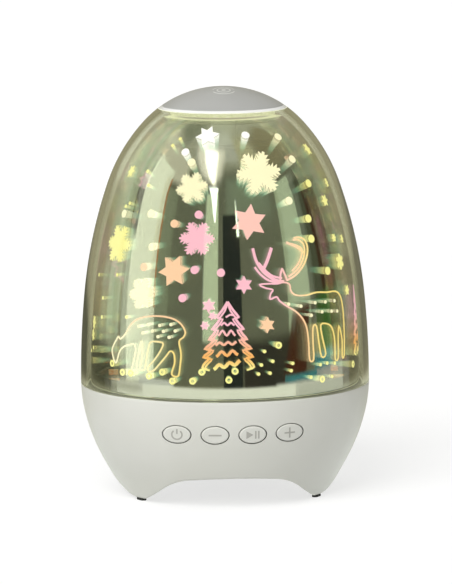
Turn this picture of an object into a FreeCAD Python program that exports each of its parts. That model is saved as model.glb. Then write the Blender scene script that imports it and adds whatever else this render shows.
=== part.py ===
"""Egg-shaped speaker lamp: a clear dome over a mirror shell, on a three-legged base.

The lamp stands on the floor plane with its upright axis on Z and its buttons towards -Y.
A loudspeaker fires down between the legs, and the lights shine up between two mirrors.
All sizes are in millimetres and degrees.
"""
import FreeCAD, Part

import math
import os
import re

import Sketcher
from FreeCAD import Placement, Rotation, Vector

SIZES = (
    ("fit_gap", 0.3, "gap between pieces that are pushed together by hand"),
    # The egg outline, from the widest place upwards
    ("waist_radius", 57.5, "radius at the widest place"),
    ("waist_height", 45.1, "height of the widest place"),
    ("shoulder_arc", 350.0, "radius of the first arc above the waist"),
    ("shoulder_turn", 5.7, "lean of the outline at the end of the first arc"),
    ("side_arc", 192.7, "radius of the second arc"),
    ("side_turn", 19.2, "lean at the end of the second arc"),
    ("crown_arc", 69.2, "radius of the third arc"),
    ("crown_turn", 42.7, "lean at the end of the third arc, where the top's own arc begins"),
    # The base outline, from the widest place downwards
    ("hull_arc", 54.6, "radius of the base's upper arc"),
    ("hull_turn", 13.0, "lean at the end of the base's upper arc"),
    ("leg_arc", 75.6, "radius of the base's lower arc"),
    ("leg_turn", 29.4, "lean of the straight legs"),
    ("waist_drop", 0.9, "from the widest place down to the joint between dome and base"),
    ("parting_height", "waist_height - waist_drop", "joint between the dome and the base"),
    ("base_wall", 2.6, "wall of the base"),
    ("rim_wall", 1.1, "thin rim of the base outside the dome's skirt"),
    ("skirt_depth", 1.5, "how far the dome's skirt drops inside the base"),
    # The arches between the legs, drawn as seen from the front
    ("leg_count", 3, "legs and arches"),
    ("arch_height", 12.3, "top of an arch above the floor"),
    ("arch_flat", 17.0, "half width of the flat top of an arch"),
    ("arch_top_arc", 150.0, "radius of the flat top"),
    ("arch_corner_arc", 17.2, "radius of the corner beside the flat top"),
    ("arch_slope", 43.0, "slope of the arch towards the foot"),
    # The rubber feet
    ("pad_height", 0.8, "rubber that shows under a leg"),
    ("pad_length", 5.0, "length of a foot pad round the base"),
    ("pad_width", 2.4, "width of a foot pad"),
    ("peg_radius", 0.8, "peg that holds a foot pad"),
    ("peg_length", 2.5, "depth of the peg in the leg"),
    # The dome, the mirror shell and the top
    ("dome_wall", 2.0, "wall of the clear dome"),
    ("shell_gap", 2.0, "air between the dome and the mirror shell"),
    ("shell_wall", 1.2, "wall of the mirror shell"),
    ("mirror_gap", 10.0, "space for the light between the mirror shell and the inner reflector"),
    ("reflector_wall", 1.2, "wall of the inner reflector"),
    ("top_gap", 3.5, "from the dome's seat down to the flat top of the mirror shell"),
    ("tab_width", 5.0, "width of a snap tab of the dome"),
    ("tab_height", 1.0, "height of a snap tab"),
    ("tab_depth", 0.6, "how far a snap tab stands inwards"),
    ("cap_depth", 8.4, "from the top of the cap down to the dome's flat seat"),
    ("seat_thickness", 1.2, "thickness of that seat"),
    ("collar_radius", 20.7, "outer radius of the dome's collar"),
    ("collar_wall", 1.5, "wall of the dome's collar"),
    ("collar_depth", 2.7, "how far the collar drops below the seat"),
    ("ring_height", 0.9, "white ring that shows under the cap"),
    ("ring_skirt", 2.3, "depth of the ring's skirt inside the collar"),
    ("ring_wall", 1.5, "wall of the ring's skirt"),
    ("cap_wall", 1.6, "wall of the touch cap"),
    ("foil_reach", 15.0, "radius of the touch foil"),
    ("foil_thickness", 0.3, "thickness of the touch foil"),
    ("lead_radius", 0.6, "radius of an insulated lead"),
    ("tube_radius", 5.0, "outer radius of the centre tube"),
    ("tube_wall", 1.2, "wall of the centre tube"),
    ("tube_proud", 1.6, "how far the tube stands above the mirror shell"),
    # The deck and the lights
    ("deck_thickness", 2.2, "thickness of the deck"),
    ("deck_gap", 1.0, "gap between the deck and the dome's skirt"),
    ("deck_radius", "waist_radius - dome_wall - deck_gap", "radius of the deck"),
    ("locating_height", 2.8, "rib that centres the mirror shell"),
    ("locating_wall", 1.8, "wall of that rib"),
    ("lead_hole", 3.0, "radius of the deck's hole for leads"),
    ("lead_hole_gap", 2.0, "between the light board and that hole"),
    ("board_thickness", 1.6, "thickness of every circuit board"),
    ("light_board_gap", 0.6, "gap between the light board and the rib round it"),
    ("light_board_radius", "waist_radius - dome_wall - shell_gap - shell_wall - fit_gap"
     " - locating_wall - light_board_gap", "outer radius of the light board"),
    ("light_board_width", 13.6, "width of the light board's ring"),
    ("light_board_inner", "light_board_radius - light_board_width", "hole in the light board"),
    ("lead_hole_reach", "light_board_inner - lead_hole_gap - lead_hole", "place of the hole"),
    ("light_count", 12, "lights round the board"),
    ("light_reach", "(light_board_radius + waist_radius - dome_wall - shell_gap - shell_wall"
     " - mirror_gap) / 2", "distance of the lights from the axis, halfway across the gap"),
    ("light_size", 4.0, "side of a light"),
    ("light_height", 1.6, "height of a light"),
    ("light_screw_inset", 2.4, "from the light board's inner edge out to its screws"),
    # The bottom cover and its grille
    ("cover_height", 13.4, "underside of the bottom cover"),
    ("cover_thickness", 1.8, "thickness of the bottom cover"),
    ("cover_gap", 0.4, "gap round the bottom cover"),
    ("grille_hole", 1.3, "radius of a grille hole"),
    # Screws and posts
    ("post_radius", 3.5, "radius of a screw post"),
    ("post_gap", 1.5, "gap between a screw post's foot and the wall"),
    ("front_post_turn", 85.0, "turn of the front posts from the front, clear of the legs"),
    ("rear_post_turn", 120.0, "turn of the rear posts from the front, clear of the legs"),
    ("post_rib", 2.4, "rib between a screw post and the wall"),
    ("screw_radius", 1.1, "radius of a screw"),
    ("screw_length", 9.0, "length of a screw under its head"),
    ("head_radius", 2.1, "radius of a screw head"),
    ("head_height", 1.2, "height of a screw head"),
    ("screw_gap", 0.05, "gap round a screw"),
    ("cut_margin", 1.0, "how far a cut runs past a face"),
    # The buttons
    ("button_count", 4, "buttons"),
    ("button_pitch", 14.7, "distance between the buttons"),
    ("button_drop", 11.0, "from the deck down to the buttons' centres"),
    ("button_height", "parting_height - deck_thickness - button_drop", "height of the buttons"),
    ("button_half_width", 5.3, "half width of a button"),
    ("button_half_rise", 3.5, "half height of a button"),
    ("button_gap", 0.35, "gap round a button"),
    ("button_proud", 0.3, "how far a button stands out of the base"),
    ("button_travel", 0.5, "travel of a button"),
    ("sleeve_wall", 1.1, "wall of the sleeve round a button"),
    ("sleeve_depth", 14.1, "from the widest place back to the rear end of the sleeves"),
    ("sleeve_back", "waist_radius - sleeve_depth", "rear end of the sleeves"),
    ("flange_thickness", 1.0, "flange that keeps a button in its sleeve"),
    ("plunger_radius", 1.6, "radius of a switch plunger"),
    ("plunger_length", 0.9, "switch plunger outside its housing"),
    ("plunger_depth", 1.8, "switch plunger inside its housing"),
    ("plunger_gap", 0.05, "gap round a switch plunger"),
    ("switch_size", 6.0, "side of a switch housing"),
    ("switch_depth", 3.5, "depth of a switch housing"),
    ("switch_margin", 2.95, "button board beside its last switch"),
    ("button_board_half", "button_pitch * (button_count - 1) / 2 + switch_size / 2 + switch_margin",
     "half length of the button board"),
    ("button_board_rise", 10.0, "height of the button board"),
    # The battery
    ("cell_radius", 9.2, "radius of the battery cell"),
    ("cell_length", 65.0, "length of the battery cell"),
    ("holder_front", 1.1, "wall of the battery holder behind the button board"),
    ("cell_clear", 1.3, "air between the battery cell and the deck"),
    ("cell_height", "parting_height - deck_thickness - cell_clear - cell_radius",
     "height of the battery cell's axis"),
    ("holder_wall", 1.5, "wall of the battery holder's ends"),
    ("saddle_length", 8.0, "length of a saddle under the cell"),
    ("nub_radius", 2.75, "radius of the cell's positive end"),
    ("cell_reach", "sleeve_back - flange_thickness - plunger_length - switch_depth"
     " - board_thickness - holder_front - fit_gap - cell_radius",
     "battery cell in front of the axis"),
    # The loudspeaker, which fires down
    ("speaker_air", 1.6, "air between the battery cell and the speaker's magnet"),
    ("magnet_radius", "cell_reach - cell_radius - speaker_air", "radius of the magnet"),
    ("basket_flare", 5.8, "how far the basket's neck stands past the magnet"),
    ("basket_neck", "magnet_radius + basket_flare", "inner radius of the basket's neck"),
    ("basket_taper", 6.6, "from the basket's neck in to its back"),
    ("basket_back", "basket_neck - basket_taper", "inner radius at the basket's back"),
    ("shelf_width", 5.0, "from the basket's neck in to the edge of the spider's shelf"),
    ("shelf_inner", "basket_neck - shelf_width", "inner radius of the spider's shelf"),
    ("spider_lap", 0.8, "how far the spider lies on its shelf"),
    ("spider_outer", "shelf_inner + spider_lap", "outer radius of the spider"),
    ("gasket_thickness", 2.0, "foam ring between the cover and the speaker"),
    ("gasket_lap", 1.0, "how far the foam ring reaches inside the surround's edge"),
    ("gasket_inner", "surround_outer - gasket_lap", "inner radius of the foam ring"),
    ("flange_margin", 0.2, "flange round the heads of the speaker screws"),
    ("speaker_radius", "basket_neck + basket_wall + head_radius * 2 + flange_margin",
     "outer radius of the speaker"),
    ("grille_margin", 4.2, "plain ring of the cover outside the grille"),
    ("grille_rings", 4, "rings of holes round the grille's centre"),
    ("grille_pitch", "(gasket_inner - grille_margin) / grille_rings", "distance between the rings"),
    ("surround_thickness", 0.3, "rubber of the surround"),
    ("surround_gap", 0.4, "gap between the surround and the speaker screws"),
    ("surround_outer", "speaker_radius - head_radius - screw_radius - surround_gap",
     "outer radius of the surround"),
    ("surround_roll", 1.75, "radius of the surround's half roll"),
    ("basket_plate", 1.0, "thickness of the basket's flange and back"),
    ("basket_neck_rise", 3.4, "height of the basket's neck"),
    ("basket_rise", 10.4, "height of the basket's back above its flange"),
    ("basket_wall", 0.8, "wall of the basket"),
    ("window_width", 9.0, "width of a window in the basket"),
    ("shelf_rise", 6.2, "height of the spider's shelf above the flange"),
    ("shelf_thickness", 0.8, "thickness of the spider's shelf"),
    ("spider_thickness", 0.4, "thickness of the spider"),
    ("coil_inner", 5.95, "inner radius of the voice coil"),
    ("coil_wall", 0.4, "wall of the voice coil"),
    ("coil_low", 4.6, "lower end of the voice coil above the flange"),
    ("coil_length", 10.0, "length of the voice coil"),
    ("cone_wall", 0.5, "wall of the cone"),
    ("dust_arc", 8.0, "radius of the dust cap's bulge"),
    ("coil_inside_gap", 0.35, "air between the pole and the voice coil"),
    ("pole_radius", "coil_inner - coil_inside_gap", "radius of the pole"),
    ("coil_outside_gap", 0.55, "air between the voice coil and the top plate"),
    ("plate_bore", "coil_inner + coil_wall + coil_outside_gap", "bore of the top plate"),
    ("magnet_margin", 1.0, "how far the magnet stands past its plates"),
    ("plate_radius", "magnet_radius - magnet_margin", "radius of the top plate and the yoke"),
    ("plate_thickness", 1.5, "thickness of the top plate and the yoke"),
    ("magnet_bore", 8.5, "bore of the magnet"),
    ("magnet_height", 5.0, "height of the magnet"),
    # The main board and what it carries
    ("board_rise", 8.8, "height of the posts under the main board"),
    ("board_height", "cover_height + cover_thickness + board_rise", "underside of the main board"),
    ("board_gap", 0.9, "air between the speaker and the main board's front edge"),
    ("board_front", "basket_neck + basket_wall + board_gap", "front edge of the main board"),
    ("board_side", 27.5, "half width of the main board"),
    ("board_inset", 11.3, "from the widest place in to the main board's rear edge"),
    ("board_back", "waist_radius - board_inset", "rear edge of the main board"),
    ("board_chamfer", 10.7, "depth of the main board's rear corners"),
    ("board_corner", "board_back - board_chamfer", "where the rear corners begin"),
    ("board_back_half", 16.0, "half width of the main board's rear edge"),
    ("post_inset_across", 5.5, "from the main board's side in to its posts"),
    ("board_post_across", "board_side - post_inset_across", "main board posts to the sides"),
    ("post_inset_along", 2.5, "from the main board's rear corners forward to its posts"),
    ("board_post_along", "board_corner - post_inset_along", "main board posts behind the axis"),
    ("board_post_radius", 2.5, "radius of a main board post"),
    ("port_wall_gap", 0.5, "gap between a socket and the wall of the base"),
    ("socket_wall", 0.4, "wall of a metal socket"),
    ("port_gap", 0.3, "gap round a socket's opening"),
    ("usb_width", 9.0, "width of the charging socket"),
    ("usb_height", 3.3, "height of the charging socket"),
    ("usb_depth", 7.5, "depth of the charging socket"),
    ("audio_across", 12.5, "audio socket to the side"),
    ("audio_size", 6.0, "side of the audio socket"),
    ("audio_depth", 12.0, "depth of the audio socket"),
    ("audio_bore", 1.75, "radius of the audio socket's bore"),
    ("audio_opening", 3.2, "radius of the base's hole for the audio plug"),
    ("card_across", 13.0, "card socket to the side"),
    ("card_width", 12.0, "width of the card socket"),
    ("card_height", 1.8, "height of the card socket"),
    ("card_depth", 12.0, "depth of the card socket"),
    ("radio_width", 8.0, "side of the radio module"),
    ("radio_across", 12.0, "radio module to the side"),
    ("chip_across", 8.0, "amplifier chip to the side"),
    ("can_across", 17.5, "first capacitor can to the side"),
    ("parts_gap", 1.0, "gap between the board's front edge and its parts"),
    ("radio_height", 2.0, "height of the radio module"),
    ("chip_width", 6.0, "side of the amplifier chip"),
    ("chip_height", 1.2, "height of the amplifier chip"),
    ("can_radius", 2.5, "radius of a capacitor can"),
    ("can_height", 7.0, "height of a capacitor can"),
    ("can_spacing", 6.5, "distance between the capacitor cans"),
    # The routes of the leads
    ("lead_drop", 3.6, "from the deck down to the leads"),
    ("lead_stub", 4.2, "straight run of a lead at its end"),
    ("lead_air", 1.8, "from the battery cell, or a board's edge, to a lead"),
    ("lead_inset", 1.2, "from a board's side or the speaker's rim in to a lead"),
    ("lead_shift", 3.0, "how far the leads step in behind the battery cell"),
    ("lead_landing", 11.0, "from the main board's front edge back to the leads"),
)

HOLES_PER_RING = 6
BUTTON_NAMES = ("power", "minus", "play", "plus")
LEG_PLACES = (("right", 1), ("rear", 3), ("left", 5))
WINDOW_TURNS = (45, 135, 225, 315)
TAB_TURNS = (0, 90, 180, 270)
CORNER_SIGNS = ((-1, -1), (1, -1), (1, 1), (-1, 1))
# Share of the shorter run that each bend of a lead takes up
BEND_SHARE = 0.45

doc = FreeCAD.newDocument("speaker_lamp")
sheet = doc.addObject("Spreadsheet::Sheet", "Sizes")
aliases = []
parts = []


def write_sizes(rows):
    """Writes sizes into the sheet: each is a number, or a formula of other sizes."""
    for alias, value, meaning in rows:
        aliases.append(alias)
        row = len(aliases)
        sheet.set(f"A{row}", meaning)
        sheet.set(f"B{row}", f"={value}")
        sheet.setAlias(f"B{row}", alias)
    doc.recompute()


def bound(expression):
    """The expression with each size's name pointed at the sheet."""
    def point(word):
        return f"Sizes.{word.group(0)}" if word.group(0) in aliases else word.group(0)
    return re.sub(r"[a-z_]+", point, str(expression))


def number_of(expression):
    """The number that an expression of sizes comes to."""
    return float(sheet.evalExpression(bound(expression)))


def count_of(expression):
    """The whole number that an expression of sizes comes to."""
    return round(number_of(expression))


def tie(thing, **expressions):
    """Ties properties of a document object to expressions of sizes."""
    for name, expression in expressions.items():
        thing.setExpression(name.replace("__", "."), bound(expression))
    return thing


def tie_place(thing, across="0", along="0", up="0"):
    """Ties where an object stands."""
    return tie(thing, Placement__Base__x=across, Placement__Base__y=along, Placement__Base__z=up)


def new(kind, name):
    """A new object of the document."""
    return doc.addObject(kind, name)


def keep(thing, name):
    """Keeps an object as the sub-part of that name."""
    thing.Label = name
    parts.append(thing)
    return thing


write_sizes(SIZES)


# Sections and outlines

def arc_between(start, end, radius, side):
    """The short arc from start to end whose centre is on the left or right of the way."""
    middle = (start + end) * 0.5
    way = end - start
    left = Vector(-way.y, way.x, 0).normalize()
    rise = math.sqrt(max(radius ** 2 - (way.Length / 2) ** 2, 0.0))
    centre = middle + left * (rise if side == "left" else -rise)
    first, last = (start, end) if side == "left" else (end, start)
    first_turn = math.atan2(first.y - centre.y, first.x - centre.x)
    last_turn = math.atan2(last.y - centre.y, last.x - centre.x)
    return Part.ArcOfCircle(Part.Circle(centre, Vector(0, 0, 1), radius), first_turn, last_turn)


def pin(sketch, edge, end, across, up):
    """Pins one end of an edge to a place given by two expressions."""
    for kind, axis, expression in (("DistanceX", -2, across), ("DistanceY", -1, up)):
        if str(expression) == "0":
            sketch.addConstraint(Sketcher.Constraint("PointOnObject", edge, end, axis))
            continue
        place = number_of(expression)
        index = sketch.addConstraint(Sketcher.Constraint(kind, -1, 1, edge, end, place))
        sketch.setExpression(f"Constraints[{index}]", bound(expression))


def draw(sketch, corners):
    """Draws a closed outline: each corner is (across, up) or (across, up, radius, side)."""
    points = [Vector(number_of(corner[0]), number_of(corner[1]), 0) for corner in corners]
    ends = []
    for index, corner in enumerate(corners):
        start, end = points[index], points[(index + 1) % len(points)]
        if len(corner) == 2:
            edge = sketch.addGeometry(Part.LineSegment(start, end))
            ends.append((edge, 1, 2))
            continue
        radius, side = corner[2], corner[3]
        edge = sketch.addGeometry(arc_between(start, end, number_of(radius), side))
        ends.append((edge, 1, 2) if side == "left" else (edge, 2, 1))
    for index, (edge, first, last) in enumerate(ends):
        next_edge, next_first, next_last = ends[(index + 1) % len(ends)]
        sketch.addConstraint(Sketcher.Constraint("Coincident", edge, last, next_edge, next_first))
    for (edge, first, last), corner in zip(ends, corners):
        pin(sketch, edge, first, corner[0], corner[1])
        if len(corner) == 4:
            radius = number_of(corner[2])
            index = sketch.addConstraint(Sketcher.Constraint("Radius", edge, radius))
            sketch.setExpression(f"Constraints[{index}]", bound(corner[2]))
    return sketch


def sketch_in(body, name, plane):
    """A sketch on one of the body's own origin planes."""
    sketch = body.newObject("Sketcher::SketchObject", name)
    origin = next(item for item in body.Origin.OriginFeatures if item.Role == plane)
    sketch.AttachmentSupport = [(origin, "")]
    sketch.MapMode = "FlatFace"
    return sketch


def turned(name, corners):
    """A body turned round the upright axis from a section."""
    body = new("PartDesign::Body", name)
    sketch = draw(sketch_in(body, f"{name}_section", "XZ_Plane"), corners)
    turn = body.newObject("PartDesign::Revolution", f"{name}_turn")
    turn.Profile = sketch
    turn.ReferenceAxis = (sketch, ["V_Axis"])
    turn.Angle = 360
    sketch.Visibility = False
    return body


def ring_section(inner, outer, low, high):
    """The section of a plain ring or disc."""
    return [(inner, low), (outer, low), (outer, high), (inner, high)]


def plate(name, corners, low, thickness):
    """A body raised from a flat outline seen from above."""
    body = new("PartDesign::Body", name)
    sketch = draw(sketch_in(body, f"{name}_outline", "XY_Plane"), corners)
    tie(sketch, AttachmentOffset__Base__z=low)
    pad = body.newObject("PartDesign::Pad", f"{name}_pad")
    pad.Profile = sketch
    tie(pad, Length=thickness)
    sketch.Visibility = False
    return body


def box(name, width, depth, height, across, along, up):
    """A block centred across, from its front and lower faces."""
    block = new("Part::Box", name)
    tie(block, Length=width, Width=depth, Height=height)
    return tie_place(block, f"{across} - ({width}) / 2", along, up)


def rod(name, radius, length, across="0", along="0", up="0", axis=None):
    """A round rod from its end, upright unless an axis is given."""
    cylinder = new("Part::Cylinder", name)
    tie(cylinder, Radius=radius, Height=length)
    if axis is not None:
        cylinder.Placement = Placement(Vector(), Rotation(Vector(0, 0, 1), axis))
    return tie_place(cylinder, across, along, up)


def oval(name, grow, across, front, back):
    """An oval rod along Y with the outline of a button, grown all round."""
    ellipse = new("Part::Ellipse", f"{name}_outline")
    tie(ellipse, MajorRadius=f"button_half_width + {grow}", MinorRadius=f"button_half_rise + {grow}")
    ellipse.Placement = Placement(Vector(), Rotation(Vector(1, 0, 0), 90))
    tie_place(ellipse, across, f"0 - ({back})", "button_height")
    rod_along = new("Part::Extrusion", name)
    rod_along.Base = ellipse
    rod_along.DirMode = "Custom"
    rod_along.Dir = Vector(0, -1, 0)
    rod_along.Solid = True
    return tie(rod_along, LengthFwd=f"{front} - ({back})")


def joined(name, things):
    """Several objects fused to one."""
    if len(things) == 1:
        return things[0]
    fuse = new("Part::MultiFuse", name)
    fuse.Shapes = things
    return fuse


def cut(name, base, tools):
    """An object less several others."""
    remainder = new("Part::Cut", name)
    remainder.Base = base
    remainder.Tool = joined(f"{name}_tools", tools)
    return remainder


def common(name, first, second):
    """What two objects share."""
    shared = new("Part::Common", name)
    shared.Base = first
    shared.Tool = second
    return shared


def group(name, things):
    """Separate solids kept as one sub-part."""
    if len(things) == 1:
        return keep(things[0], name)
    compound = new("Part::Compound", name)
    compound.Links = things
    return keep(compound, name)


def screw(name, across, along, head, way):
    """A screw whose head's outer face is at a height, pointing up (1) or down (-1)."""
    axis = Vector(0, 0, way)
    cap = rod(f"{name}_head", "head_radius", "head_height", across, along, head, axis)
    shank = rod(f"{name}_shank", "screw_radius", "head_height + screw_length",
                across, along, head, axis)
    return joined(name, [cap, shank])


def screw_hole(name, across, along, head, way):
    """The recess and hole that a screw needs."""
    axis = Vector(0, 0, way)
    recess = rod(f"{name}_recess", "head_radius + screw_gap * 2", "head_height",
                 across, along, head, axis)
    bore = rod(f"{name}_bore", "screw_radius + screw_gap",
               "head_height + screw_length + cut_margin", across, along, head, axis)
    return [recess, bore]


# Outlines that several pieces share

def egg(offset):
    """The egg's arcs from the waist up, moved inwards by an offset, as corners to the left."""
    across, up = f"waist_radius - ({offset})", "waist_height"
    corners = []
    before = "0"
    for part in ("shoulder", "side", "crown"):
        radius = f"({part}_arc - ({offset}))"
        corners.append((across, up, radius, "left"))
        across = f"{across} + {radius} * (cos({part}_turn) - cos({before}))"
        up = f"{up} + {radius} * (sin({part}_turn) - sin({before}))"
        before = f"{part}_turn"
    corners.append((across, up, f"({CAP_ARC} - ({offset}))", "left"))
    return corners


def egg_from(offset, low):
    """The same arcs, begun at a height close to the waist instead of at the waist itself."""
    first, *others = egg(offset)
    arc = f"(shoulder_arc - ({offset}))"
    across = f"(waist_radius - shoulder_arc + sqrt({arc}^2 - ({low} - waist_height)^2))"
    return [(across, low, *first[2:]), *others]


def crown_reach():
    """The distance from the axis at which the top's own arc begins."""
    return ("(waist_radius + shoulder_arc * (cos(shoulder_turn) - 1)"
            " + side_arc * (cos(side_turn) - cos(shoulder_turn))"
            " + crown_arc * (cos(crown_turn) - cos(side_turn)))")


def crown_rise():
    """The height at which the top's own arc begins."""
    return ("(waist_height + shoulder_arc * sin(shoulder_turn)"
            " + side_arc * (sin(side_turn) - sin(shoulder_turn))"
            " + crown_arc * (sin(crown_turn) - sin(side_turn)))")


CAP_ARC = f"({crown_reach()} / cos(crown_turn))"
CAP_CENTRE = f"({crown_rise()} - {crown_reach()} * tan(crown_turn))"


def top_reach(height, offset):
    """The distance from the axis of the egg's top arc at a height."""
    return f"sqrt(({CAP_ARC} - ({offset}))^2 - ({height} - {CAP_CENTRE})^2)"


def top_rise(reach, offset):
    """The height of the egg's top arc at a distance from the axis."""
    return f"({CAP_CENTRE} + sqrt(({CAP_ARC} - ({offset}))^2 - ({reach})^2))"


def downwards(corners, last):
    """The same arcs traced the other way, ending at the corner before the first."""
    points = [last] + [corner[:2] for corner in reversed(corners)]
    radii = [corner[2] for corner in reversed(corners)]
    traced = [(*point, radius, "right") for point, radius in zip(points, radii)]
    return traced + [points[-1]]


def hull(offset, height):
    """The base's arcs from a height near the waist down, moved inwards by an offset."""
    first = f"(hull_arc - ({offset}))"
    second = f"(leg_arc - ({offset}))"
    top = f"waist_radius - hull_arc + sqrt({first}^2 - (waist_height - ({height}))^2)"
    across = f"(waist_radius - hull_arc + {first} * cos(hull_turn))"
    up = f"(waist_height - {first} * sin(hull_turn))"
    leg_across = f"({across} + {second} * (cos(leg_turn) - cos(hull_turn)))"
    leg_up = f"({up} - {second} * (sin(leg_turn) - sin(hull_turn)))"
    return [(top, height), (across, up), (leg_across, leg_up)], (first, second)


def hull_reach(offset, height):
    """The distance from the axis of the straight leg, or its line, at a height."""
    leg_across, leg_up = hull(offset, "parting_height")[0][2]
    return f"({leg_across} - ({leg_up} - ({height})) * tan(leg_turn))"


def arc_reach(offset, height):
    """The distance from the axis of the base's lower arc at a height."""
    across, up = hull("0", "parting_height")[0][1]
    centre_across = f"({across} - leg_arc * cos(hull_turn))"
    centre_up = f"({up} + leg_arc * sin(hull_turn))"
    return f"({centre_across} + sqrt((leg_arc - ({offset}))^2 - ({height} - {centre_up})^2))"


def hull_outline(offset, top, low):
    """The corners of the base's outside from a top down to a low height, clockwise."""
    points, radii = hull(offset, top)
    corners = [(*points[0], radii[0], "right"), (*points[1], radii[1], "right"), points[2]]
    return corners + [(hull_reach(offset, low), low)]


def hull_solid(name, offset, top, low):
    """A solid with the outside of the base."""
    return turned(name, hull_outline(offset, top, low) + [("0", low), ("0", top)])


COVER_TOP = "(cover_height + cover_thickness)"
write_sizes((
    ("seat_height", f"{CAP_CENTRE} + {CAP_ARC} - cap_depth", "flat seat at the top of the dome"),
    ("collar_foot", "seat_height - collar_depth", "lower end of the dome's collar"),
    ("shell_top", "seat_height - top_gap", "flat top of the mirror shell"),
    ("pad_reach", hull_reach("base_wall / 2", "pad_height"), "distance of a foot from the axis"),
    ("post_reach", f"{hull_reach('base_wall', COVER_TOP)} - post_radius - post_gap",
     "distance of the screw posts from the axis"),
))
REBATE = "(parting_height - skirt_depth)"
DECK_LOW = "(parting_height - deck_thickness)"
SHELL_OFFSET = "(dome_wall + shell_gap)"
REFLECTOR_OFFSET = f"({SHELL_OFFSET} + shell_wall + mirror_gap)"
RING_TOP = "(seat_height + ring_height)"
LIGHT_BOARD_TOP = "(parting_height + board_thickness)"
SPEAKER_LOW = f"({COVER_TOP} + gasket_thickness + surround_thickness)"
CONE_RIM = "(basket_neck - surround_roll * 2)"
BASKET_TOP = f"({SPEAKER_LOW} + basket_rise + basket_plate)"
BOARD_TOP = "(board_height + board_thickness)"
FLANGE_BACK = "(sleeve_back - flange_thickness)"
SWITCH_FRONT = f"({FLANGE_BACK} - plunger_length)"
BUTTON_BOARD_FRONT = f"({SWITCH_FRONT} - switch_depth)"
BUTTON_BOARD_BACK = f"({BUTTON_BOARD_FRONT} - board_thickness)"


# The base

def arch_corners():
    """Half arches left and right of the front, as seen from the front, down past the floor."""
    lean = "asin(arch_flat / arch_top_arc)"
    edge_up = f"(arch_height - arch_top_arc * (1 - cos({lean})))"
    corner_across = f"(arch_flat + arch_corner_arc * (sin(arch_slope) - sin({lean})))"
    corner_up = f"({edge_up} - arch_corner_arc * (cos({lean}) - cos(arch_slope)))"
    foot_up = "(0 - pad_height)"
    foot_across = f"({corner_across} + ({corner_up} - {foot_up}) / tan(arch_slope))"
    return [
        (f"0 - {foot_across}", foot_up),
        (f"0 - {corner_across}", corner_up, "arch_corner_arc", "right"),
        ("0 - arch_flat", edge_up, "arch_top_arc", "right"),
        ("arch_flat", edge_up, "arch_corner_arc", "right"),
        (corner_across, corner_up),
        (foot_across, foot_up),
    ]


def base_wall():
    """The wall of the base with an arch between each two legs."""
    outside = hull_outline("0", "parting_height", "pad_height")
    inner_points, inner_radii = hull("base_wall", REBATE)
    inside = [
        (hull_reach("base_wall", "pad_height"), "pad_height"),
        (*inner_points[2], inner_radii[1], "left"),
        (*inner_points[1], inner_radii[0], "left"),
        inner_points[0],
        ("waist_radius - rim_wall", REBATE),
        ("waist_radius - rim_wall", "parting_height"),
    ]
    body = turned("base_wall_body", outside + inside)
    sketch = draw(sketch_in(body, "arch_outline", "XZ_Plane"), arch_corners())
    arch = body.newObject("PartDesign::Pocket", "arch")
    arch.Profile = sketch
    arch.Type = "Length"
    arch.Reversed = True
    tie(arch, Length="waist_radius")
    sketch.Visibility = False
    pattern = body.newObject("PartDesign::PolarPattern", "arches")
    pattern.Originals = [arch]
    upright = next(item for item in body.Origin.OriginFeatures if item.Role == "Z_Axis")
    pattern.Axis = (upright, [""])
    pattern.Angle = 360
    tie(pattern, Occurrences="leg_count")
    body.Tip = pattern
    return body


def post_places():
    """Where the four screw posts stand, with their turn from the front."""
    for turn in ("front_post_turn", "rear_post_turn"):
        for side in (-1, 1):
            turned_by = f"({side} * {turn})"
            yield f"post_reach * sin{turned_by}", f"0 - post_reach * cos{turned_by}", turned_by


def post_rib_box(name, turned_by):
    """A rib from the middle of a screw post straight out to the wall."""
    rib = new("Part::Box", name)
    tie(rib, Length="waist_radius - post_reach", Width="post_rib",
        Height=f"{DECK_LOW} - {COVER_TOP}")
    rib.Placement = Placement(Vector(), Rotation(Vector(0, 0, 1), number_of(turned_by) - 90))
    across = f"post_reach * sin{turned_by} - post_rib / 2 * cos{turned_by}"
    along = f"0 - post_reach * cos{turned_by} - post_rib / 2 * sin{turned_by}"
    return tie_place(rib, across, along, COVER_TOP)


def button_places():
    """The name of each button with its place across the front."""
    for index, name in enumerate(BUTTON_NAMES):
        yield name, f"(button_pitch * ({index} - (button_count - 1) / 2))"


def port_openings():
    """Openings in the rear wall for the sockets."""
    reach = "hull_arc"
    usb = box("usb_opening", "usb_width + port_gap * 2", reach, "usb_height + port_gap * 2",
              "0", "board_back - usb_depth", f"{BOARD_TOP} - port_gap")
    audio = rod("audio_opening_rod", "audio_opening", reach, "audio_across",
                "board_back - audio_depth / 2", f"{BOARD_TOP} + audio_size / 2", Vector(0, 1, 0))
    card = box("card_opening", "card_width + port_gap * 2", reach, "card_height + port_gap * 2",
               "0 - card_across", "board_back - card_depth / 2", f"{BOARD_TOP} - port_gap")
    return [usb, audio, card]


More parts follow.
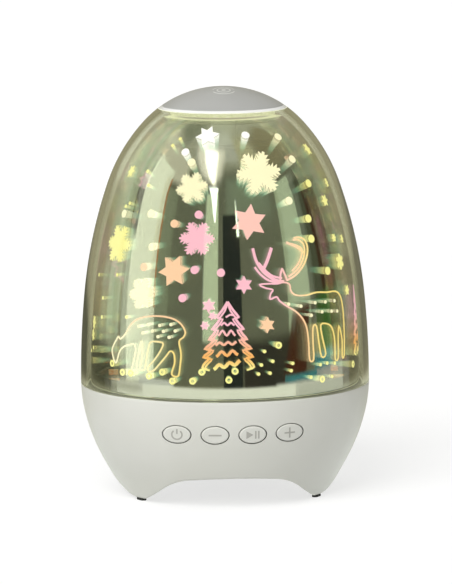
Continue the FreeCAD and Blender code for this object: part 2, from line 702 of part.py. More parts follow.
def make_base_shell():
    """The base: its wall, the button sleeves and the screw posts in one moulding."""
    middle = hull_solid("base_middle", "base_wall / 2", REBATE, "cover_height")
    sleeves = [oval(f"sleeve_{name}", "button_gap + sleeve_wall", across,
                    "waist_radius", "sleeve_back")
               for name, across in button_places()]
    posts = []
    for across, along, turned_by in post_places():
        posts.append(rod(f"post_{len(posts)}", "post_radius", f"{DECK_LOW} - {COVER_TOP}",
                         across, along, COVER_TOP))
        posts.append(post_rib_box(f"post_rib_{len(posts)}", turned_by))
    inner = common("base_inner", joined("sleeves_and_posts", sleeves + posts), middle)
    holes = [oval(f"button_hole_{name}", "button_gap", across, "waist_radius + cut_margin",
                  "sleeve_back - cut_margin")
             for name, across in button_places()]
    for across, along, turned_by in post_places():
        holes.append(rod(f"post_bore_{len(holes)}", "screw_radius + screw_gap",
                         f"{DECK_LOW} - {COVER_TOP}", across, along, COVER_TOP))
    holes += port_openings()
    for side, turn in LEG_PLACES:
        peg = rod(f"peg_hole_{side}", "peg_radius", "peg_length", leg_across(turn),
                  leg_along(turn), "pad_height")
        holes.append(peg)
    whole = joined("base_whole", [base_wall(), inner])
    return keep(cut("base_shell_cut", whole, holes), "base_shell")


def leg_across(turn):
    """How far across a leg's foot stands, for a leg some half steps round from the front."""
    return f"pad_reach * sin({turn} * 180 / leg_count)"


def leg_along(turn):
    """How far along a leg's foot stands."""
    return f"0 - pad_reach * cos({turn} * 180 / leg_count)"


def make_feet():
    """A rubber pad with a peg under each leg."""
    for side, turn in LEG_PLACES:
        half, end = "(pad_length / 2 - pad_width / 2)", "(pad_width / 2)"
        body = plate(f"foot_{side}_pad", [
            (f"0 - {half}", f"0 - {end}"),
            (half, f"0 - {end}", end, "left"),
            (f"{half} + {end}", "0", end, "left"),
            (half, end),
            (f"0 - {half}", end, end, "left"),
            (f"0 - {half} - {end}", "0", end, "left"),
        ], "0", "pad_height")
        lean = Rotation(Vector(0, 0, 1), turn * 180 / number_of("leg_count"))
        body.Placement = Placement(Vector(), lean)
        tie_place(body, leg_across(turn), leg_along(turn), "0")
        peg = rod(f"foot_{side}_peg", "peg_radius", "peg_length",
                  leg_across(turn), leg_along(turn), "pad_height")
        keep(joined(f"foot_{side}_whole", [body, peg]), f"foot_{side}")


def make_bottom_cover():
    """The bottom cover: a disc with the speaker's grille, screw holes and board posts."""
    reach = f"{hull_reach('base_wall', 'cover_height')} - cover_gap"
    body = turned("cover_disc", ring_section("0", reach, "cover_height", COVER_TOP))
    for index in range(count_of("grille_rings")):
        sketch = sketch_in(body, f"grille_hole_{index}", "XY_Plane")
        place = Vector(number_of(f"grille_pitch * {index + 1}"), 0, 0)
        circle = Part.Circle(place, Vector(0, 0, 1), number_of("grille_hole"))
        edge = sketch.addGeometry(circle)
        pin(sketch, edge, 3, f"grille_pitch * {index + 1}", "0")
        number = sketch.addConstraint(Sketcher.Constraint("Radius", edge, circle.Radius))
        sketch.setExpression(f"Constraints[{number}]", bound("grille_hole"))
        hole = body.newObject("PartDesign::Pocket", f"grille_cut_{index}")
        hole.Profile = sketch
        hole.Reversed = True
        tie(hole, Length=f"{COVER_TOP} + cut_margin")
        pattern = body.newObject("PartDesign::PolarPattern", f"grille_ring_{index}")
        pattern.Originals = [hole]
        upright = next(item for item in body.Origin.OriginFeatures if item.Role == "Z_Axis")
        pattern.Axis = (upright, [""])
        pattern.Angle = 360
        pattern.Occurrences = HOLES_PER_RING * (index + 1)
        sketch.Visibility = False
        body.Tip = pattern
    posts = [rod(f"board_post_{side}", "board_post_radius", f"board_height - {COVER_TOP}",
                 f"{side} * board_post_across", "board_post_along", COVER_TOP)
             for side in (-1, 1)]
    holes = [rod("grille_centre", "grille_hole", f"{COVER_TOP} + cut_margin")]
    for across, along, turned_by in post_places():
        holes += screw_hole(f"cover_screw_hole_{len(holes)}", across, along,
                            "cover_height", 1)
    for left, front in CORNER_SIGNS:
        holes.append(rod(f"speaker_screw_hole_{len(holes)}", "screw_radius + screw_gap",
                         "cover_thickness", speaker_screw(left), speaker_screw(front),
                         "cover_height"))
    for side in (-1, 1):
        holes.append(rod(f"board_post_bore_{side}", "screw_radius + screw_gap",
                         f"board_height - {COVER_TOP}", f"{side} * board_post_across",
                         "board_post_along", COVER_TOP))
    whole = joined("cover_whole", [body] + posts)
    keep(cut("bottom_cover_cut", whole, holes), "bottom_cover")


def make_deck():
    """The deck that carries the lights, with the rib that centres the mirror shell."""
    rib_outer = f"(waist_radius - {SHELL_OFFSET} - shell_wall - fit_gap)"
    rib_inner = f"({rib_outer} - locating_wall)"
    body = turned("deck_disc", [
        ("0", DECK_LOW), ("deck_radius", DECK_LOW), ("deck_radius", "parting_height"),
        (rib_outer, "parting_height"), (rib_outer, "parting_height + locating_height"),
        (rib_inner, "parting_height + locating_height"), (rib_inner, "parting_height"),
        ("0", "parting_height"),
    ])
    holes = [rod("deck_lead_hole", "lead_hole", "deck_thickness", "0", "lead_hole_reach", DECK_LOW)]
    for across, along, turned_by in post_places():
        holes += screw_hole(f"deck_screw_hole_{len(holes)}", across, along, "parting_height", -1)
    for side in (-1, 1):
        holes.append(rod(f"light_screw_bore_{side}", "screw_radius + screw_gap", "deck_thickness",
                         f"{side} * (light_board_inner + light_screw_inset)", "0", DECK_LOW))
    keep(cut("deck_plate_cut", body, holes), "deck_plate")


def make_case_screws():
    """The screws of the bottom cover and of the deck, in the same four posts."""
    below, above = [], []
    for across, along, turned_by in post_places():
        below.append(screw(f"cover_screw_{len(below)}", across, along, "cover_height", 1))
        above.append(screw(f"deck_screw_{len(above)}", across, along, "parting_height", -1))
    group("cover_screws", below)
    group("deck_screws", above)


# The dome, the mirror shell and the top

def make_clear_dome():
    """The clear dome with its skirt, its snap tabs, its flat seat and its collar."""
    outside = egg("0")
    inside = egg("dome_wall")
    collar_inner = "(collar_radius - collar_wall)"
    top = (top_reach("seat_height", "0"), "seat_height")
    seat_low = "(seat_height - seat_thickness)"
    inner_top = (top_reach(seat_low, "dome_wall"), seat_low)
    section = [("waist_radius", "parting_height")] + outside + [
        top, (collar_inner, "seat_height"), (collar_inner, "collar_foot"),
        ("collar_radius", "collar_foot"), ("collar_radius", seat_low),
    ] + downwards(inside, inner_top) + [
        ("waist_radius - dome_wall", REBATE),
        ("waist_radius - rim_wall - screw_gap * 2", REBATE),
        ("waist_radius - rim_wall - screw_gap * 2", "parting_height"),
    ]
    dome = turned("dome_body", section)
    tabs = []
    for turn in TAB_TURNS:
        tab = new("Part::Box", f"dome_tab_{turn}")
        tie(tab, Length="tab_width", Width="tab_depth + dome_wall / 4", Height="tab_height")
        tab.Placement = Placement(Vector(), Rotation(Vector(0, 0, 1), turn))
        reach = "(waist_radius - dome_wall * 3 / 4)"
        across = f"{reach} * sin({turn}) - tab_width / 2 * cos({turn})"
        along = f"0 - {reach} * cos({turn}) - tab_width / 2 * sin({turn})"
        tie_place(tab, across, along, f"{REBATE} + tab_height / 2")
        tabs.append(tab)
    keep(joined("dome_whole", [dome] + tabs), "clear_dome")


def egg_shell(name, offset, wall, low, top):
    """A thin shell that follows the egg inside it, with a flat top and a hole for the tube."""
    offset_inside = f"({offset} + {wall})"
    under_top = f"({top} - {wall})"
    hole = "(tube_radius + fit_gap)"
    inner_top = (top_reach(under_top, offset_inside), under_top)
    section = egg_from(offset, low) + [
        (top_reach(top, offset), top), (hole, top), (hole, under_top),
    ] + downwards(egg_from(offset_inside, low), inner_top)
    return keep(turned(f"{name}_body", section), name)


def make_shells():
    """The half mirror with its clear etched marks, and the reflector behind the lights."""
    egg_shell("mirror_shell", SHELL_OFFSET, "shell_wall", "parting_height", "shell_top")
    top = "(shell_top - shell_wall - mirror_gap)"
    egg_shell("inner_reflector", REFLECTOR_OFFSET, "reflector_wall", LIGHT_BOARD_TOP, top)


def make_top():
    """The white ring, the touch cap and the foil under it."""
    skirt = "(collar_radius - collar_wall - screw_gap * 2)"
    keep(turned("ring_body", [
        (top_reach("seat_height", "0"), "seat_height", CAP_ARC, "left"),
        (top_reach(RING_TOP, "0"), RING_TOP),
        (f"{skirt} - ring_wall", RING_TOP),
        (f"{skirt} - ring_wall", "seat_height - ring_skirt"),
        (skirt, "seat_height - ring_skirt"),
        (skirt, "seat_height"),
    ]), "cap_ring")
    inner_rim = top_reach(RING_TOP, "cap_wall")
    keep(turned("cap_body", [
        (top_reach(RING_TOP, "0"), RING_TOP, CAP_ARC, "left"),
        ("0", top_rise("0", "0")),
        ("0", top_rise("0", "cap_wall"), f"({CAP_ARC} - cap_wall)", "right"),
        (inner_rim, RING_TOP),
    ]), "touch_cap")
    low = "(cap_wall + foil_thickness)"
    keep(turned("foil_body", [
        ("foil_reach", top_rise("foil_reach", "cap_wall"), f"({CAP_ARC} - cap_wall)", "left"),
        ("0", top_rise("0", "cap_wall")),
        ("0", top_rise("0", low), f"({CAP_ARC} - {low})", "right"),
        ("foil_reach", top_rise("foil_reach", low)),
    ]), "touch_foil")


def make_centre_tube():
    """The tube up the middle and the touch lead inside it."""
    tube = turned("tube_body", ring_section("tube_radius - tube_wall", "tube_radius",
                                            "parting_height", "shell_top + tube_proud"))
    keep(tube, "centre_tube")
    foil_low = top_rise("lead_radius", "(cap_wall + foil_thickness)")
    keep(rod("touch_lead_rod", "lead_radius", f"{foil_low} - parting_height",
             up="parting_height"), "touch_lead")


def make_lights():
    """The ring-shaped light board on the deck, its lights and its screws."""
    ring = turned("light_ring", ring_section("light_board_inner", "light_board_radius",
                                             "parting_height", LIGHT_BOARD_TOP))
    holes = []
    screws = []
    for side in (-1, 1):
        across = f"{side} * (light_board_inner + light_screw_inset)"
        holes.append(rod(f"light_board_hole_{side}", "screw_radius + screw_gap", "board_thickness",
                         across, "0", "parting_height"))
        cap = rod(f"light_screw_head_{side}", "head_radius", "head_height", across, "0",
                  LIGHT_BOARD_TOP)
        shank = rod(f"light_screw_shank_{side}", "screw_radius", "board_thickness + deck_thickness",
                    across, "0", DECK_LOW)
        screws.append(joined(f"light_screw_{side}", [cap, shank]))
    keep(cut("light_board_cut", ring, holes), "light_board")
    group("light_screws", screws)
    lights = []
    for index in range(count_of("light_count")):
        turn = f"(360 / light_count * ({index} + 0.5))"
        light = box(f"light_{index}", "light_size", "light_size", "light_height",
                    f"light_reach * cos{turn}", f"light_reach * sin{turn} - light_size / 2",
                    LIGHT_BOARD_TOP)
        lights.append(light)
    group("lights", lights)


# The buttons

def make_buttons():
    """Four buttons in their sleeves, each on the plunger of its own switch."""
    housings = []
    for name, across in button_places():
        face = common(f"button_face_{name}",
                      oval(f"button_rod_{name}", "0", across, "waist_radius + cut_margin",
                           FLANGE_BACK),
                      hull_solid(f"button_limit_{name}", "0 - button_proud", "waist_height",
                                 "cover_height"))
        flange = oval(f"button_flange_{name}", "button_gap + sleeve_wall / 2", across,
                      "sleeve_back", FLANGE_BACK)
        keep(joined(f"button_whole_{name}", [face, flange]), f"button_{name}")
        plunger = rod(f"plunger_rod_{name}", "plunger_radius", "plunger_length + plunger_depth",
                      across, f"0 - {FLANGE_BACK}", "button_height", Vector(0, 1, 0))
        keep(plunger, f"plunger_{name}")
        housing = box(f"housing_block_{name}", "switch_size", "switch_depth", "switch_size",
                      across, f"0 - {SWITCH_FRONT}", "button_height - switch_size / 2")
        well = rod(f"housing_well_{name}", "plunger_radius + plunger_gap",
                   "plunger_depth + button_travel + screw_gap",
                   across, f"0 - {SWITCH_FRONT}", "button_height", Vector(0, 1, 0))
        housings.append(cut(f"housing_{name}", housing, [well]))
    group("switch_housings", housings)
    board = box("button_board_block", "button_board_half * 2", "board_thickness",
                "button_board_rise", "0", f"0 - {BUTTON_BOARD_FRONT}",
                "button_height - button_board_rise / 2")
    keep(board, "button_board")


# The loudspeaker

def speaker_screw(sign):
    """How far a speaker screw stands across or along."""
    return f"{sign} * (speaker_radius - head_radius) * cos(45)"


def make_speaker_frame():
    """The foam ring, the pressed basket with its windows, and the speaker screws."""
    gasket = turned("gasket_body", ring_section("gasket_inner", "speaker_radius", COVER_TOP,
                                                f"{COVER_TOP} + gasket_thickness"))
    neck_outer = "(basket_neck + basket_wall)"
    back_outer = "(basket_back + basket_wall)"
    neck_top = f"({SPEAKER_LOW} + basket_neck_rise)"
    back_low = f"({SPEAKER_LOW} + basket_rise)"
    slope = "((basket_neck - basket_back) / (basket_rise - basket_neck_rise))"

    def wall_at(rise):
        return f"(basket_neck - ({rise} - basket_neck_rise) * {slope})"

    shelf_high = "(shelf_rise + shelf_thickness)"
    basket = turned("basket_body", [
        ("speaker_radius", SPEAKER_LOW),
        ("speaker_radius", f"{SPEAKER_LOW} + basket_plate"),
        (neck_outer, f"{SPEAKER_LOW} + basket_plate"),
        (neck_outer, neck_top),
        (back_outer, BASKET_TOP),
        ("plate_bore", BASKET_TOP),
        ("plate_bore", back_low),
        ("basket_back", back_low),
        (wall_at(shelf_high), f"{SPEAKER_LOW} + {shelf_high}"),
        ("shelf_inner", f"{SPEAKER_LOW} + {shelf_high}"),
        ("shelf_inner", f"{SPEAKER_LOW} + shelf_rise"),
        (wall_at("shelf_rise"), f"{SPEAKER_LOW} + shelf_rise"),
        ("basket_neck", neck_top),
        ("basket_neck", SPEAKER_LOW),
    ])
    windows = []
    for turn in WINDOW_TURNS:
        window = new("Part::Box", f"basket_window_{turn}")
        tie(window, Length="speaker_radius", Width="window_width",
            Height=f"basket_rise - {shelf_high} - basket_wall * 2")
        window.Placement = Placement(Vector(), Rotation(Vector(0, 0, 1), turn))
        tie_place(window, f"basket_back * cos({turn}) + window_width / 2 * sin({turn})",
                  f"basket_back * sin({turn}) - window_width / 2 * cos({turn})",
                  f"{SPEAKER_LOW} + {shelf_high} + basket_wall")
        windows.append(window)
    gasket_bores, basket_bores, screws = [], [], []
    for left, front in CORNER_SIGNS:
        index = len(screws)
        place = (speaker_screw(left), speaker_screw(front))
        gasket_bores.append(rod(f"gasket_bore_{index}", "screw_radius + screw_gap",
                                "gasket_thickness", *place, COVER_TOP))
        basket_bores.append(rod(f"basket_bore_{index}", "screw_radius + screw_gap",
                                "basket_plate", *place, SPEAKER_LOW))
        cap = rod(f"speaker_screw_head_{index}", "head_radius", "head_height", *place,
                  f"{SPEAKER_LOW} + basket_plate")
        shank = rod(f"speaker_screw_shank_{index}", "screw_radius",
                    f"{SPEAKER_LOW} + basket_plate - cover_height", *place, "cover_height")
        screws.append(joined(f"speaker_screw_{index}", [cap, shank]))
    keep(cut("gasket_cut", gasket, gasket_bores), "speaker_gasket")
    keep(cut("basket_cut", basket, windows + basket_bores), "speaker_basket")
    group("speaker_screws", screws)


def make_speaker_motor():
    """The top plate, the magnet and the yoke with its pole."""
    plate_top = f"({BASKET_TOP} + plate_thickness)"
    magnet_top = f"({plate_top} + magnet_height)"
    keep(turned("top_plate_body", ring_section("plate_bore", "plate_radius", BASKET_TOP,
                                               plate_top)), "speaker_top_plate")
    keep(turned("magnet_body", ring_section("magnet_bore", "magnet_radius", plate_top,
                                            magnet_top)), "speaker_magnet")
    pole_low = f"({BASKET_TOP} - basket_wall / 2)"
    keep(turned("yoke_body", [
        ("0", pole_low), ("pole_radius", pole_low), ("pole_radius", magnet_top),
        ("plate_radius", magnet_top), ("plate_radius", f"{magnet_top} + plate_thickness"),
        ("0", f"{magnet_top} + plate_thickness"),
    ]), "speaker_yoke")


def make_speaker_cone():
    """The moving cone, coil and dust cap, with the soft rings that carry them."""
    coil_outer = "(coil_inner + coil_wall)"
    coil_low = f"({SPEAKER_LOW} + coil_low)"
    keep(turned("coil_body", ring_section("coil_inner", coil_outer, coil_low,
                                          f"{coil_low} + coil_length")), "voice_coil")
    keep(turned("cone_body", [
        (coil_outer, coil_low), (f"{CONE_RIM} - cone_wall * 2", SPEAKER_LOW),
        (CONE_RIM, SPEAKER_LOW), (CONE_RIM, f"{SPEAKER_LOW} + cone_wall"),
        (f"{CONE_RIM} - cone_wall", f"{SPEAKER_LOW} + cone_wall"),
        (coil_outer, f"{coil_low} + cone_wall * 1.5"),
    ]), "speaker_cone")
    sag = f"(dust_arc - sqrt(dust_arc^2 - {coil_outer}^2))"
    keep(turned("dust_cap_body", [
        ("0", f"{coil_low} - {sag}", "dust_arc", "left"),
        (coil_outer, coil_low),
        (f"{coil_outer} - cone_wall", coil_low, "dust_arc", "right"),
        ("0", f"{coil_low} - {sag} + cone_wall"),
    ]), "dust_cap")
    crest = f"({CONE_RIM} + surround_roll)"
    low = f"({SPEAKER_LOW} - surround_thickness)"
    keep(turned("surround_body", [
        (CONE_RIM, SPEAKER_LOW),
        (CONE_RIM, low),
        ("surround_outer", low),
        ("surround_outer", SPEAKER_LOW),
        ("basket_neck", SPEAKER_LOW, "surround_roll", "left"),
        (crest, f"{SPEAKER_LOW} + surround_roll", "surround_roll", "left"),
    ]), "speaker_surround")
    keep(turned("spider_body", ring_section(
        coil_outer, "spider_outer", f"{SPEAKER_LOW} + shelf_rise - spider_thickness",
        f"{SPEAKER_LOW} + shelf_rise")), "speaker_spider")


# The battery

def make_battery():
    """The cell, lying across the lamp, and the holder that stands on the bottom cover."""
    cell = rod("cell_can", "cell_radius", "cell_length - socket_wall", "0 - cell_length / 2",
               "0 - cell_reach", "cell_height", Vector(1, 0, 0))
    nub = rod("cell_nub", "nub_radius", "socket_wall", "cell_length / 2 - socket_wall",
              "0 - cell_reach", "cell_height", Vector(1, 0, 0))
    keep(joined("cell_whole", [cell, nub]), "battery_cell")
    front = BUTTON_BOARD_BACK
    length = "(cell_length + fit_gap * 2 + holder_wall * 2)"
    wall = box("holder_front_wall", length, f"{front} - cell_reach - cell_radius - fit_gap",
               f"button_height + button_board_rise / 2 - {COVER_TOP}", "0", f"0 - {front}",
               COVER_TOP)
    ends = [box(f"holder_end_{side}", "saddle_length + fit_gap + holder_wall",
                f"{front} - cell_reach + cell_radius", f"cell_height - {COVER_TOP}",
                f"{side} * ({length} - saddle_length - fit_gap - holder_wall) / 2",
                f"0 - {front}", COVER_TOP)
            for side in (-1, 1)]
    space = hull_solid("holder_space", "base_wall + fit_gap * 2", DECK_LOW, COVER_TOP)
    well = rod("holder_well", "cell_radius + fit_gap", "cell_length + fit_gap * 2",
               "0 - cell_length / 2 - fit_gap", "0 - cell_reach", "cell_height",
               Vector(1, 0, 0))
    frame = common("holder_frame", joined("holder_blocks", [wall] + ends), space)
    keep(cut("holder_cut", frame, [well]), "battery_holder")


# The main board

def socket_mouth(outer_corner):
    """How far behind the axis a socket's mouth can stand, just inside the rear wall."""
    return (f"sqrt(({arc_reach('base_wall', BOARD_TOP)} - port_wall_gap)^2"
            f" - ({outer_corner})^2)")


def make_main_board():
    """The main board on two posts, with its screws."""
    board = plate("main_board_plate", [
        ("0 - board_side", "board_front"), ("board_side", "board_front"),
        ("board_side", "board_corner"), ("board_back_half", "board_back"),
        ("0 - board_back_half", "board_back"), ("0 - board_side", "board_corner"),
    ], "board_height", "board_thickness")
    holes, screws = [], []
    for side in (-1, 1):
        place = (f"{side} * board_post_across", "board_post_along")
        holes.append(rod(f"main_board_hole_{side}", "screw_radius + screw_gap",
                         "board_thickness", *place, "board_height"))
        head = rod(f"board_screw_head_{side}", "head_radius", "head_height", *place, BOARD_TOP)
        shank = rod(f"board_screw_shank_{side}", "screw_radius", "board_thickness + screw_length / 2",
                    *place, "board_height - screw_length / 2")
        screws.append(joined(f"board_screw_{side}", [head, shank]))
    keep(cut("main_board_cut", board, holes), "main_board")
    group("board_screws", screws)


def make_sockets():
    """The charging, audio and card sockets at the board's rear edge."""
    usb_mouth = socket_mouth("usb_width / 2")
    usb = box("usb_block", "usb_width", "usb_depth", "usb_height", "0",
              f"{usb_mouth} - usb_depth", BOARD_TOP)
    usb_space = box("usb_space", "usb_width - socket_wall * 2", "usb_depth",
                    "usb_height - socket_wall * 2", "0",
                    f"{usb_mouth} - usb_depth + socket_wall", f"{BOARD_TOP} + socket_wall")
    keep(cut("usb_cut", usb, [usb_space]), "usb_socket")
    audio_mouth = socket_mouth("audio_across + audio_size / 2")
    audio = box("audio_block", "audio_size", "audio_depth", "audio_size", "audio_across",
                f"{audio_mouth} - audio_depth", BOARD_TOP)
    audio_space = rod("audio_space", "audio_bore", "audio_depth", "audio_across",
                      f"{audio_mouth} - audio_depth + socket_wall",
                      f"{BOARD_TOP} + audio_size / 2", Vector(0, 1, 0))
    keep(cut("audio_cut", audio, [audio_space]), "audio_socket")
    card_mouth = socket_mouth("card_across + card_width / 2")
    card = box("card_block", "card_width", "card_depth", "card_height", "0 - card_across",
               f"{card_mouth} - card_depth", BOARD_TOP)
    card_space = box("card_space", "card_width - socket_wall * 2", "card_depth",
                     "card_height - socket_wall * 2", "0 - card_across",
                     f"{card_mouth} - card_depth + socket_wall", f"{BOARD_TOP} + socket_wall")
    keep(cut("card_cut", card, [card_space]), "card_socket")


def make_board_parts():
    """The radio module, the amplifier chip and the capacitor cans."""
    keep(box("radio_block", "radio_width", "radio_width", "radio_height", "0 - radio_across",
             "board_front + parts_gap", BOARD_TOP), "radio_module")
    keep(box("chip_block", "chip_width", "chip_width", "chip_height", "chip_across",
             "board_front + parts_gap", BOARD_TOP), "amplifier_chip")
    cans = [rod(f"can_{index}", "can_radius", "can_height", f"can_across + can_spacing * {index}",
                "board_front + parts_gap + can_radius", BOARD_TOP)
            for index in range(2)]
    group("capacitors", cans)


# The leads

def lead(name, route):
    """A round lead along straight runs joined by tangent arcs, through named places."""
    points = [Vector(*(number_of(place) for place in corner)) for corner in route]
    edges, start, radii = [], points[0], []
    for before, corner, after in zip(points, points[1:], points[2:]):
        inward, outward = (before - corner), (after - corner)
        half_turn = (math.pi - inward.getAngle(outward)) / 2
        cut_back = BEND_SHARE * min(inward.Length, outward.Length)
        radii.append(cut_back / math.tan(half_turn))
        inward.normalize()
        outward.normalize()
        first, last = corner + inward * cut_back, corner + outward * cut_back
        bisector = (inward + outward).normalize()
        middle = corner + bisector * (radii[-1] / math.cos(half_turn) - radii[-1])
        edges += [Part.LineSegment(start, first).toShape(), Part.Arc(first, middle, last).toShape()]
        start = last
    edges.append(Part.LineSegment(start, points[-1]).toShape())
    path = Part.Wire(edges)
    circle = Part.Circle(points[0], points[1] - points[0], number_of("lead_radius"))
    shape = path.makePipeShell([Part.Wire([circle.toShape()])], True, False)
    length = path.Length
    expected = math.pi * number_of("lead_radius") ** 2 * length
    print(f"{name}: length {length:.1f}, tightest bend {min(radii):.1f}, "
          f"volume share {shape.Volume / expected:.4f}")
    piece = new("Part::Feature", name)
    piece.Shape = shape
    return piece


def make_leads():
    """The leads between the boards, the battery and the speaker."""
    high = f"({DECK_LOW} - lead_drop)"
    end_wall = "(cell_length / 2 + fit_gap + holder_wall / 2)"
    past_cell = "(cell_reach - cell_radius - lead_air)"
    inner_way = f"({end_wall} - lead_shift)"
    board_side = "(board_side - lead_inset)"
    near_back = "(board_front + lead_landing)"
    battery = lead("battery_lead_tube", [
        (end_wall, "0 - cell_reach", "cell_height"),
        (end_wall, "0 - cell_reach", "cell_height + lead_stub"),
        (end_wall, f"0 - {past_cell}", high),
        (inner_way, "board_front / 2", high),
        (board_side, near_back, high),
        (board_side, near_back, BOARD_TOP),
    ])
    keep(battery, "battery_lead")
    board_end = "(button_board_half - lead_inset)"
    board_middle = f"({BUTTON_BOARD_BACK} + board_thickness / 2)"
    button = lead("button_lead_tube", [
        (f"0 - {board_end}", f"0 - {board_middle}", "button_height + button_board_rise / 2"),
        (f"0 - {board_end}", f"0 - {board_middle}", high),
        (f"0 - {end_wall}", "0 - cell_reach - cell_radius", high),
        (f"0 - {end_wall}", f"0 - {past_cell}", high),
        (f"0 - {inner_way}", "board_front / 2", high),
        (f"0 - {board_side}", near_back, high),
        (f"0 - {board_side}", near_back, BOARD_TOP),
    ])
    keep(button, "button_lead")
    board_edge = "(light_board_inner + lead_air)"
    above = f"({LIGHT_BOARD_TOP} + lead_stub)"
    light = lead("light_lead_tube", [
        ("0", board_edge, LIGHT_BOARD_TOP), ("0", board_edge, above),
        ("0", "lead_hole_reach", above), ("0", "lead_hole_reach", BOARD_TOP),
    ])
    keep(light, "light_lead")
    flange_top = f"({SPEAKER_LOW} + basket_plate)"
    speaker = rod("speaker_lead_rod", "lead_radius", f"board_height - {flange_top}", "0",
                  "speaker_radius - lead_inset", flange_top)
    keep(speaker, "speaker_lead")


def write_parts():
    """Checks every object and writes each sub-part to its own file."""
    doc.recompute()
    for thing in doc.Objects:
        if any(word in thing.State for word in ("Invalid", "Error")):
            raise RuntimeError(f"{thing.Name} failed: {thing.State}")
    os.makedirs("parts", exist_ok=True)
    for thing in parts:
        if thing.Shape.isNull() or not thing.Shape.isValid():
            raise RuntimeError(f"{thing.Label} has no valid shape")
        thing.Shape.exportStep(os.path.join("parts", f"{thing.Label}.step"))
        solids = len(thing.Shape.Solids)
        print(f"{thing.Label:18s} solids {solids:2d}  volume {thing.Shape.Volume:10.2f}")


make_base_shell()
make_feet()
make_bottom_cover()
make_deck()
make_case_screws()
make_clear_dome()
make_shells()
make_top()
make_centre_tube()
make_lights()
make_buttons()
make_speaker_frame()
make_speaker_motor()
make_speaker_cone()
make_battery()
make_main_board()
make_sockets()
make_board_parts()
make_leads()
write_parts()
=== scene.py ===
"""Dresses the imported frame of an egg-shaped speaker lamp.

A clear dome stands over a half mirror whose etched figures glow, on a pale three-legged base.
Sizes are in millimetres unless a name says otherwise, azimuths in degrees from the front (-Y)
towards the right (+X).
"""
import functools
import logging
import math
from dataclasses import dataclass
from enum import Enum
from typing import Callable, Iterator, Sequence

import bmesh
import bpy
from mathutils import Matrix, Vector


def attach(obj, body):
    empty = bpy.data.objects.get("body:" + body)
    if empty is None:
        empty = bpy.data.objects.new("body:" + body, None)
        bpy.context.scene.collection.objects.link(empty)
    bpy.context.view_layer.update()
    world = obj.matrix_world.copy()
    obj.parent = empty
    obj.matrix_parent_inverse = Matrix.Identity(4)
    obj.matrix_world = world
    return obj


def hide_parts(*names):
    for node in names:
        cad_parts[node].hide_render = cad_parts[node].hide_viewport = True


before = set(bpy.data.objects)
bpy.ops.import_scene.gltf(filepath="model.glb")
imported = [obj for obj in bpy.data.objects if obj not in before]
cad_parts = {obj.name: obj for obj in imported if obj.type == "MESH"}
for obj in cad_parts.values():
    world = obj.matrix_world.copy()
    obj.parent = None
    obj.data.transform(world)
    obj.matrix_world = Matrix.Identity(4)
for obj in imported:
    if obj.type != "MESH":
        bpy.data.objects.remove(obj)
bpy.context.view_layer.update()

MM = 0.001
LAMP_BODY = "lamp_body"
MERGE_DISTANCE = 1e-7
FULL_TURN, QUARTER_TURN = 2 * math.pi, math.pi / 2
ABS_IOR, ACRYLIC_IOR = 1.53, 1.49
WAVE_PERIOD = 0.31  # of the wave texture at a scale of one
OVAL_STEPS = 72

Colour = tuple[float, float, float, float]
Point = tuple[float, float]
Place = tuple[float, float, float]
Corner = Point | Place
Settings = dict[str | int, object]
Tree, Socket = bpy.types.NodeTree, bpy.types.NodeSocket
Mesh, Piece, Vert = bmesh.types.BMesh, bpy.types.Object, bmesh.types.BMVert
Tint = Colour | Callable[[float, float], Colour]

logging.basicConfig(level=logging.INFO, format="%(message)s")
LOG = logging.getLogger("speaker_lamp")


# Colours and shader nodes

def linear(code: str) -> Colour:
    """An sRGB hex code such as "#DADAD2" as a linear colour with an alpha of one."""
    channels = (int(code[index:index + 2], 16) / 255 for index in (1, 3, 5))
    return *(c / 12.92 if c <= 0.04045 else ((c + 0.055) / 1.055) ** 2.4 for c in channels), 1.0


def grey(value: float) -> Colour:
    """A linear grey of a given value."""
    return value, value, value, 1.0


def between(first: Colour, last: Colour, share: float) -> Colour:
    """A colour part of the way between two."""
    share = min(max(share, 0.0), 1.0)
    return tuple(a + (b - a) * share for a, b in zip(first, last))


def add_node(tree: Tree, kind: str, settings: Settings | None = None,
             output: int | str = 0) -> Socket | None:
    """Adds a node with its settings and links.

    Args:
        tree: The node tree to add to.
        kind: The node's type, without the word ShaderNode before it.
        settings: Properties by name, and inputs by name or number, each with its value or with
            the socket that feeds it.
        output: The name or number of the output that is wanted.
    Returns:
        That output, or None where the node has none.
    """
    node = tree.nodes.new("ShaderNode" + kind)
    for key, value in (settings or {}).items():
        if isinstance(value, Socket):
            tree.links.new(value, node.inputs[key])
        elif isinstance(key, int) or key in node.inputs:
            node.inputs[key].default_value = value
        else:
            setattr(node, key, value)
    return node.outputs[output] if node.outputs else None


def span(start: float, end: float, low: float = 0.0, high: float = 1.0) -> Settings:
    """Map Range's settings from one range to another."""
    return {"From Min": start, "From Max": end, "To Min": low, "To Max": high}


def add_ramp(tree: Tree, source: Socket, *stops: tuple[float, str | float]) -> Socket:
    """Adds a colour ramp.

    Args:
        tree: The node tree to add to.
        source: The number that the ramp reads.
        stops: Places from 0 to 1, each with a hex code or a linear grey.
    Returns:
        The ramp's colour output.
    """
    ramp = add_node(tree, "ValToRGB", {"Fac": source})
    elements = ramp.node.color_ramp.elements
    while len(elements) < len(stops):
        elements.new(1.0)
    for element, (place, tone) in zip(elements, stops):
        element.position = place
        element.color = linear(tone) if isinstance(tone, str) else grey(tone)
    return ramp


